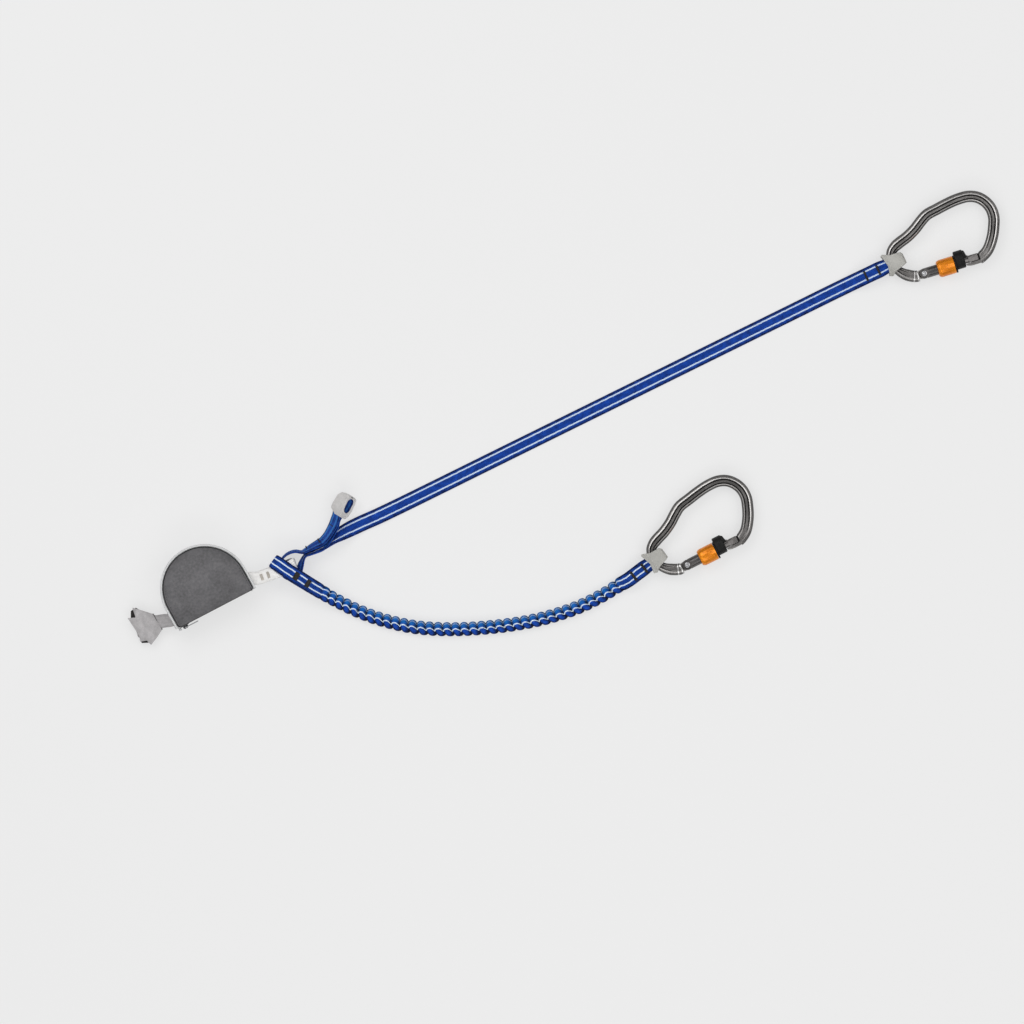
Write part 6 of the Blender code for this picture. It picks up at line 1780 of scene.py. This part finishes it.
def makeArmLoop():
    look = armLoop
    ends = (pouch["width"] / 2 - look["inside"], pouch["width"] / 2 + pouch["gussetProud"])
    across, width = headingOf(look["heading"] + 90), look["width"]
    high, low = strapHeight + layer, strapHeight - layer
    rows = [(pouchPoint(x, high), pouchAcross, width) for x in ends]
    for x, y, share in look["over"]:
        rows.append((spot(x, y, high + (loopHigh - high) * share), across, width))
    corner = look["corner"]
    back, bend = headingOf(look["heading"]) * 0.3 * corner, up * 0.3 * corner
    top, bottom = loopHigh - corner, loopLow + corner
    rows.append((spot(*look["end"], loopHigh) - back - bend, across, width))
    rows += [(spot(*look["end"], height), across, width) for height in (top, (top + bottom) / 2, bottom)]
    rows.append((spot(*look["end"], loopLow) - back + bend, across, width))
    for x, y, share in look["under"]:
        rows.append((spot(x, y, low + (loopLow - low) * share), across, width))
    rows += [(pouchPoint(x, low), pouchAcross, width) for x in reversed(ends)]
    piece, _ = strap("armLoop", rows, whiteWebbing, 0.0010, loopLow)
    return dress(piece, "lanyard", "white_webbing", "arm_loop_webbing")


loopPiece = makeArmLoop()

# Harness strap: over the ring's place, round it and back under, through its own bight
hitch = {
    "route": [  # place, share of the height, width
        (157.6, 621.4, 0.62, 0.0132), (150.5, 624.0, 0.76, 0.0180), (144.4, 626.2, 0.80, 0.0210),
        (139.0, 627.2, 0.72, 0.0200), (136.0, 627.4, 0.44, 0.0180), (139.0, 627.2, 0.10, 0.0180),
        (144.0, 625.8, 0.00, 0.0190), (151.0, 623.8, 0.06, 0.0160), (158.0, 621.8, 0.80, 0.0132),
    ],
    "throat": (165.0, 620.6),
    "heading": 20.6,
    "panel": [  # the bight seen from above
        (132.8, 607.6), (142.0, 610.2), (152.6, 613.6), (154.6, 616.6), (162.4, 629.6), (157.6, 637.0),
        (151.6, 644.8), (147.2, 640.4), (140.6, 641.6), (139.8, 636.0), (134.0, 627.0), (128.0, 618.0),
        (136.0, 617.4),
    ],
    "inner": [  # the lower layer, near black as painted shade in the bight's mouths
        (131.0, 611.0), (136.0, 607.6), (150.0, 616.0), (158.0, 630.0), (149.6, 642.6), (142.0, 643.0),
        (131.0, 618.0),
    ],
    "innerDrop": 2.4,  # in layers
    # where a dark wire stands in for the shadow along the bight's edge
    "edge": [(153.0, 613.6), (155.2, 616.6), (162.6, 629.4)],
    "edgeRadius": 0.0006,
    "edgeSink": 0.0004,
    "bore": 0.0070,
    "tailEnd": 0.0365,
    "tailTwistEnd": 0.0270,
    "tailTwistStart": 0.0130,
    "tailBend": 0.0025,
}


def hitchPlate(outline, height, edge):
    points = [tuple(spot(x, y)[:2]) for x, y in outline]
    return points, rounded(shifted(plate(points, lay["thickness"] / 2), 0.0, 0.0, height), edge)


def makeHarnessStrap():
    low = lay["thickness"] / 2 + fitGap
    high = low + hitch["bore"] + lay["thickness"]
    across, wide = headingOf(hitch["heading"] + 90), pouch["strapWidth"]
    rows = [(spot(x, y, low + (high - low) * share), across, width) for x, y, share, width in hitch["route"]]
    tall = strapHeight + layer / 2
    rows.append((spot(*hitch["throat"], 0.80 * tall), across, wide))
    ends = (pouch["width"] / 2 + pouch["gussetProud"], hitch["tailEnd"], hitch["tailTwistEnd"] + 2 * fitGap)
    rows += [(pouchPoint(-x, tall), pouchAcross, wide) for x in ends]
    piece, _ = strap("harnessStrap", rows, greyWebbing, 0.0009, low)
    dress(piece, "lanyard", "grey_webbing", "harness_strap")
    top = low + hitch["bore"] + lay["thickness"] / 2
    outline, panel = hitchPlate(hitch["panel"], top, 0.00035)
    middle = np.mean(np.array(outline), axis=0)
    ahead = headingOf(hitch["heading"])[:2]
    side = np.array((-ahead[1], ahead[0]))
    reach = max(abs(np.dot(np.array(point) - middle, side)) for point in outline)
    uv = panel.uv_layers.new(name="strap").data
    for loop in panel.loops:
        place = np.array(panel.vertices[loop.vertex_index].co[:2]) - middle
        uv[loop.index].uv = (np.dot(place, side) / reach * 0.9, np.dot(place, ahead))
    dress(shown("harnessBight", panel, greyWebbing, 50), "lanyard", "grey_webbing")
    # the lower layer, in a near black finish as painted shade
    _, under = hitchPlate(hitch["inner"], top - hitch["innerDrop"] * layer, 0.0004)
    dress(shown("harnessInside", under, blackThread), "lanyard", "grey_webbing")
    # a dark wire as painted shadow along the bight's edge
    wire = wireMesh([spot(x, y, top - hitch["edgeSink"]) for x, y in hitch["edge"]], hitch["edgeRadius"])
    dress(shown("harnessEdge", wire, edgeShadowGrey, 80), "lanyard", "grey_webbing")


makeHarnessStrap()

# Tear webbing inside the pouch: two plies woven together, folded to and fro up the arch
tear = {"width": 0.0212, "pitch": 0.0055, "runs": 6, "margin": 0.0070}


def tearPly(name, side, finish, slotName, node):
    bend, tail, entry = tear["pitch"] / 2, hitch["tailBend"], pouch["entry"]
    start, end = hitch["tailTwistStart"], hitch["tailTwistEnd"]
    narrow, wide, offset = pouch["strapWidth"], tear["width"], -side * layer / 2
    level = strapHeight - (layer / 2 if side < 0 else 0.0)
    rows = []
    for reach, turn in ((hitch["tailEnd"], 0), (end, 0), (0.75 * end, 30), (0.6 * end, 60), (start, 90)):
        share = turn / 90
        across = (0.0, math.cos(math.radians(turn)), math.sin(math.radians(turn)))
        height = level * (1 - share) + strapHeight * share
        rows.append(((side * reach, entry, height), across, narrow + (wide - narrow) * share**2))
    first = entry + narrow / 2 + layer + 2 * fitGap
    middle = (side * (layer / 2 + tail), entry + tail)
    flat = arcOf(middle, tail, -90, -18 if side < 0 else -162, 4)
    flat.append((-offset, entry + tail))
    flat += arcOf((bend, first - bend), bend + offset, 180, 90, 4)
    for k in range(tear["runs"]):
        height = first + k * tear["pitch"]
        over = max(0.0, height + bend - pouch["side"])
        reach = math.sqrt(max((pouch["width"] / 2 - tear["margin"]) ** 2 - over**2, 0.0))
        turned = (reach, bend - offset, -90, 90) if k % 2 == 0 else (-reach, bend + offset, 270, 90)
        flat += arcOf((turned[0], height + bend), *turned[1:], 6)
    last = first + tear["runs"] * tear["pitch"]
    flat.append((0.0, last + (1 if tear["runs"] % 2 == 0 else -1) * offset))
    rows += [((x, y, strapHeight), (0.0, 0.0, 1.0), wide) for x, y in flat]
    piece = strapMesh(name, np.array(rowsLine(rows)), finish)
    moved(piece.data, pouchFrame)
    dress(piece, "lanyard", slotName, node)


tearPly("tearPlyHarness", -1, greyWebbing, "grey_webbing", "tear_webbing_harness_ply")
tearPly("tearPlyArm", 1, whiteWebbing, "white_webbing", "tear_webbing_arm_ply")


def tackPair(owner, finish, slotName, *spreads):  # two bar tacks: thick rows of thread
    return [barTack(f"{owner}_bar_tack_{end}", finish, slotName, *spreads) for end in ("inner", "outer")]


flatTacks = tackPair("long_arm", blackThread, "black_thread", 1.3)
elasticTacks = tackPair("elastic_arm", blackThread, "black_thread", 1.6)
elasticTacks += tackPair("elastic_loop", blackThread, "black_thread", 3.1, 0.78)
loopTacks = tackPair("arm_loop", paleThread, "grey_webbing", 1.6)
print("straps and tacks made")
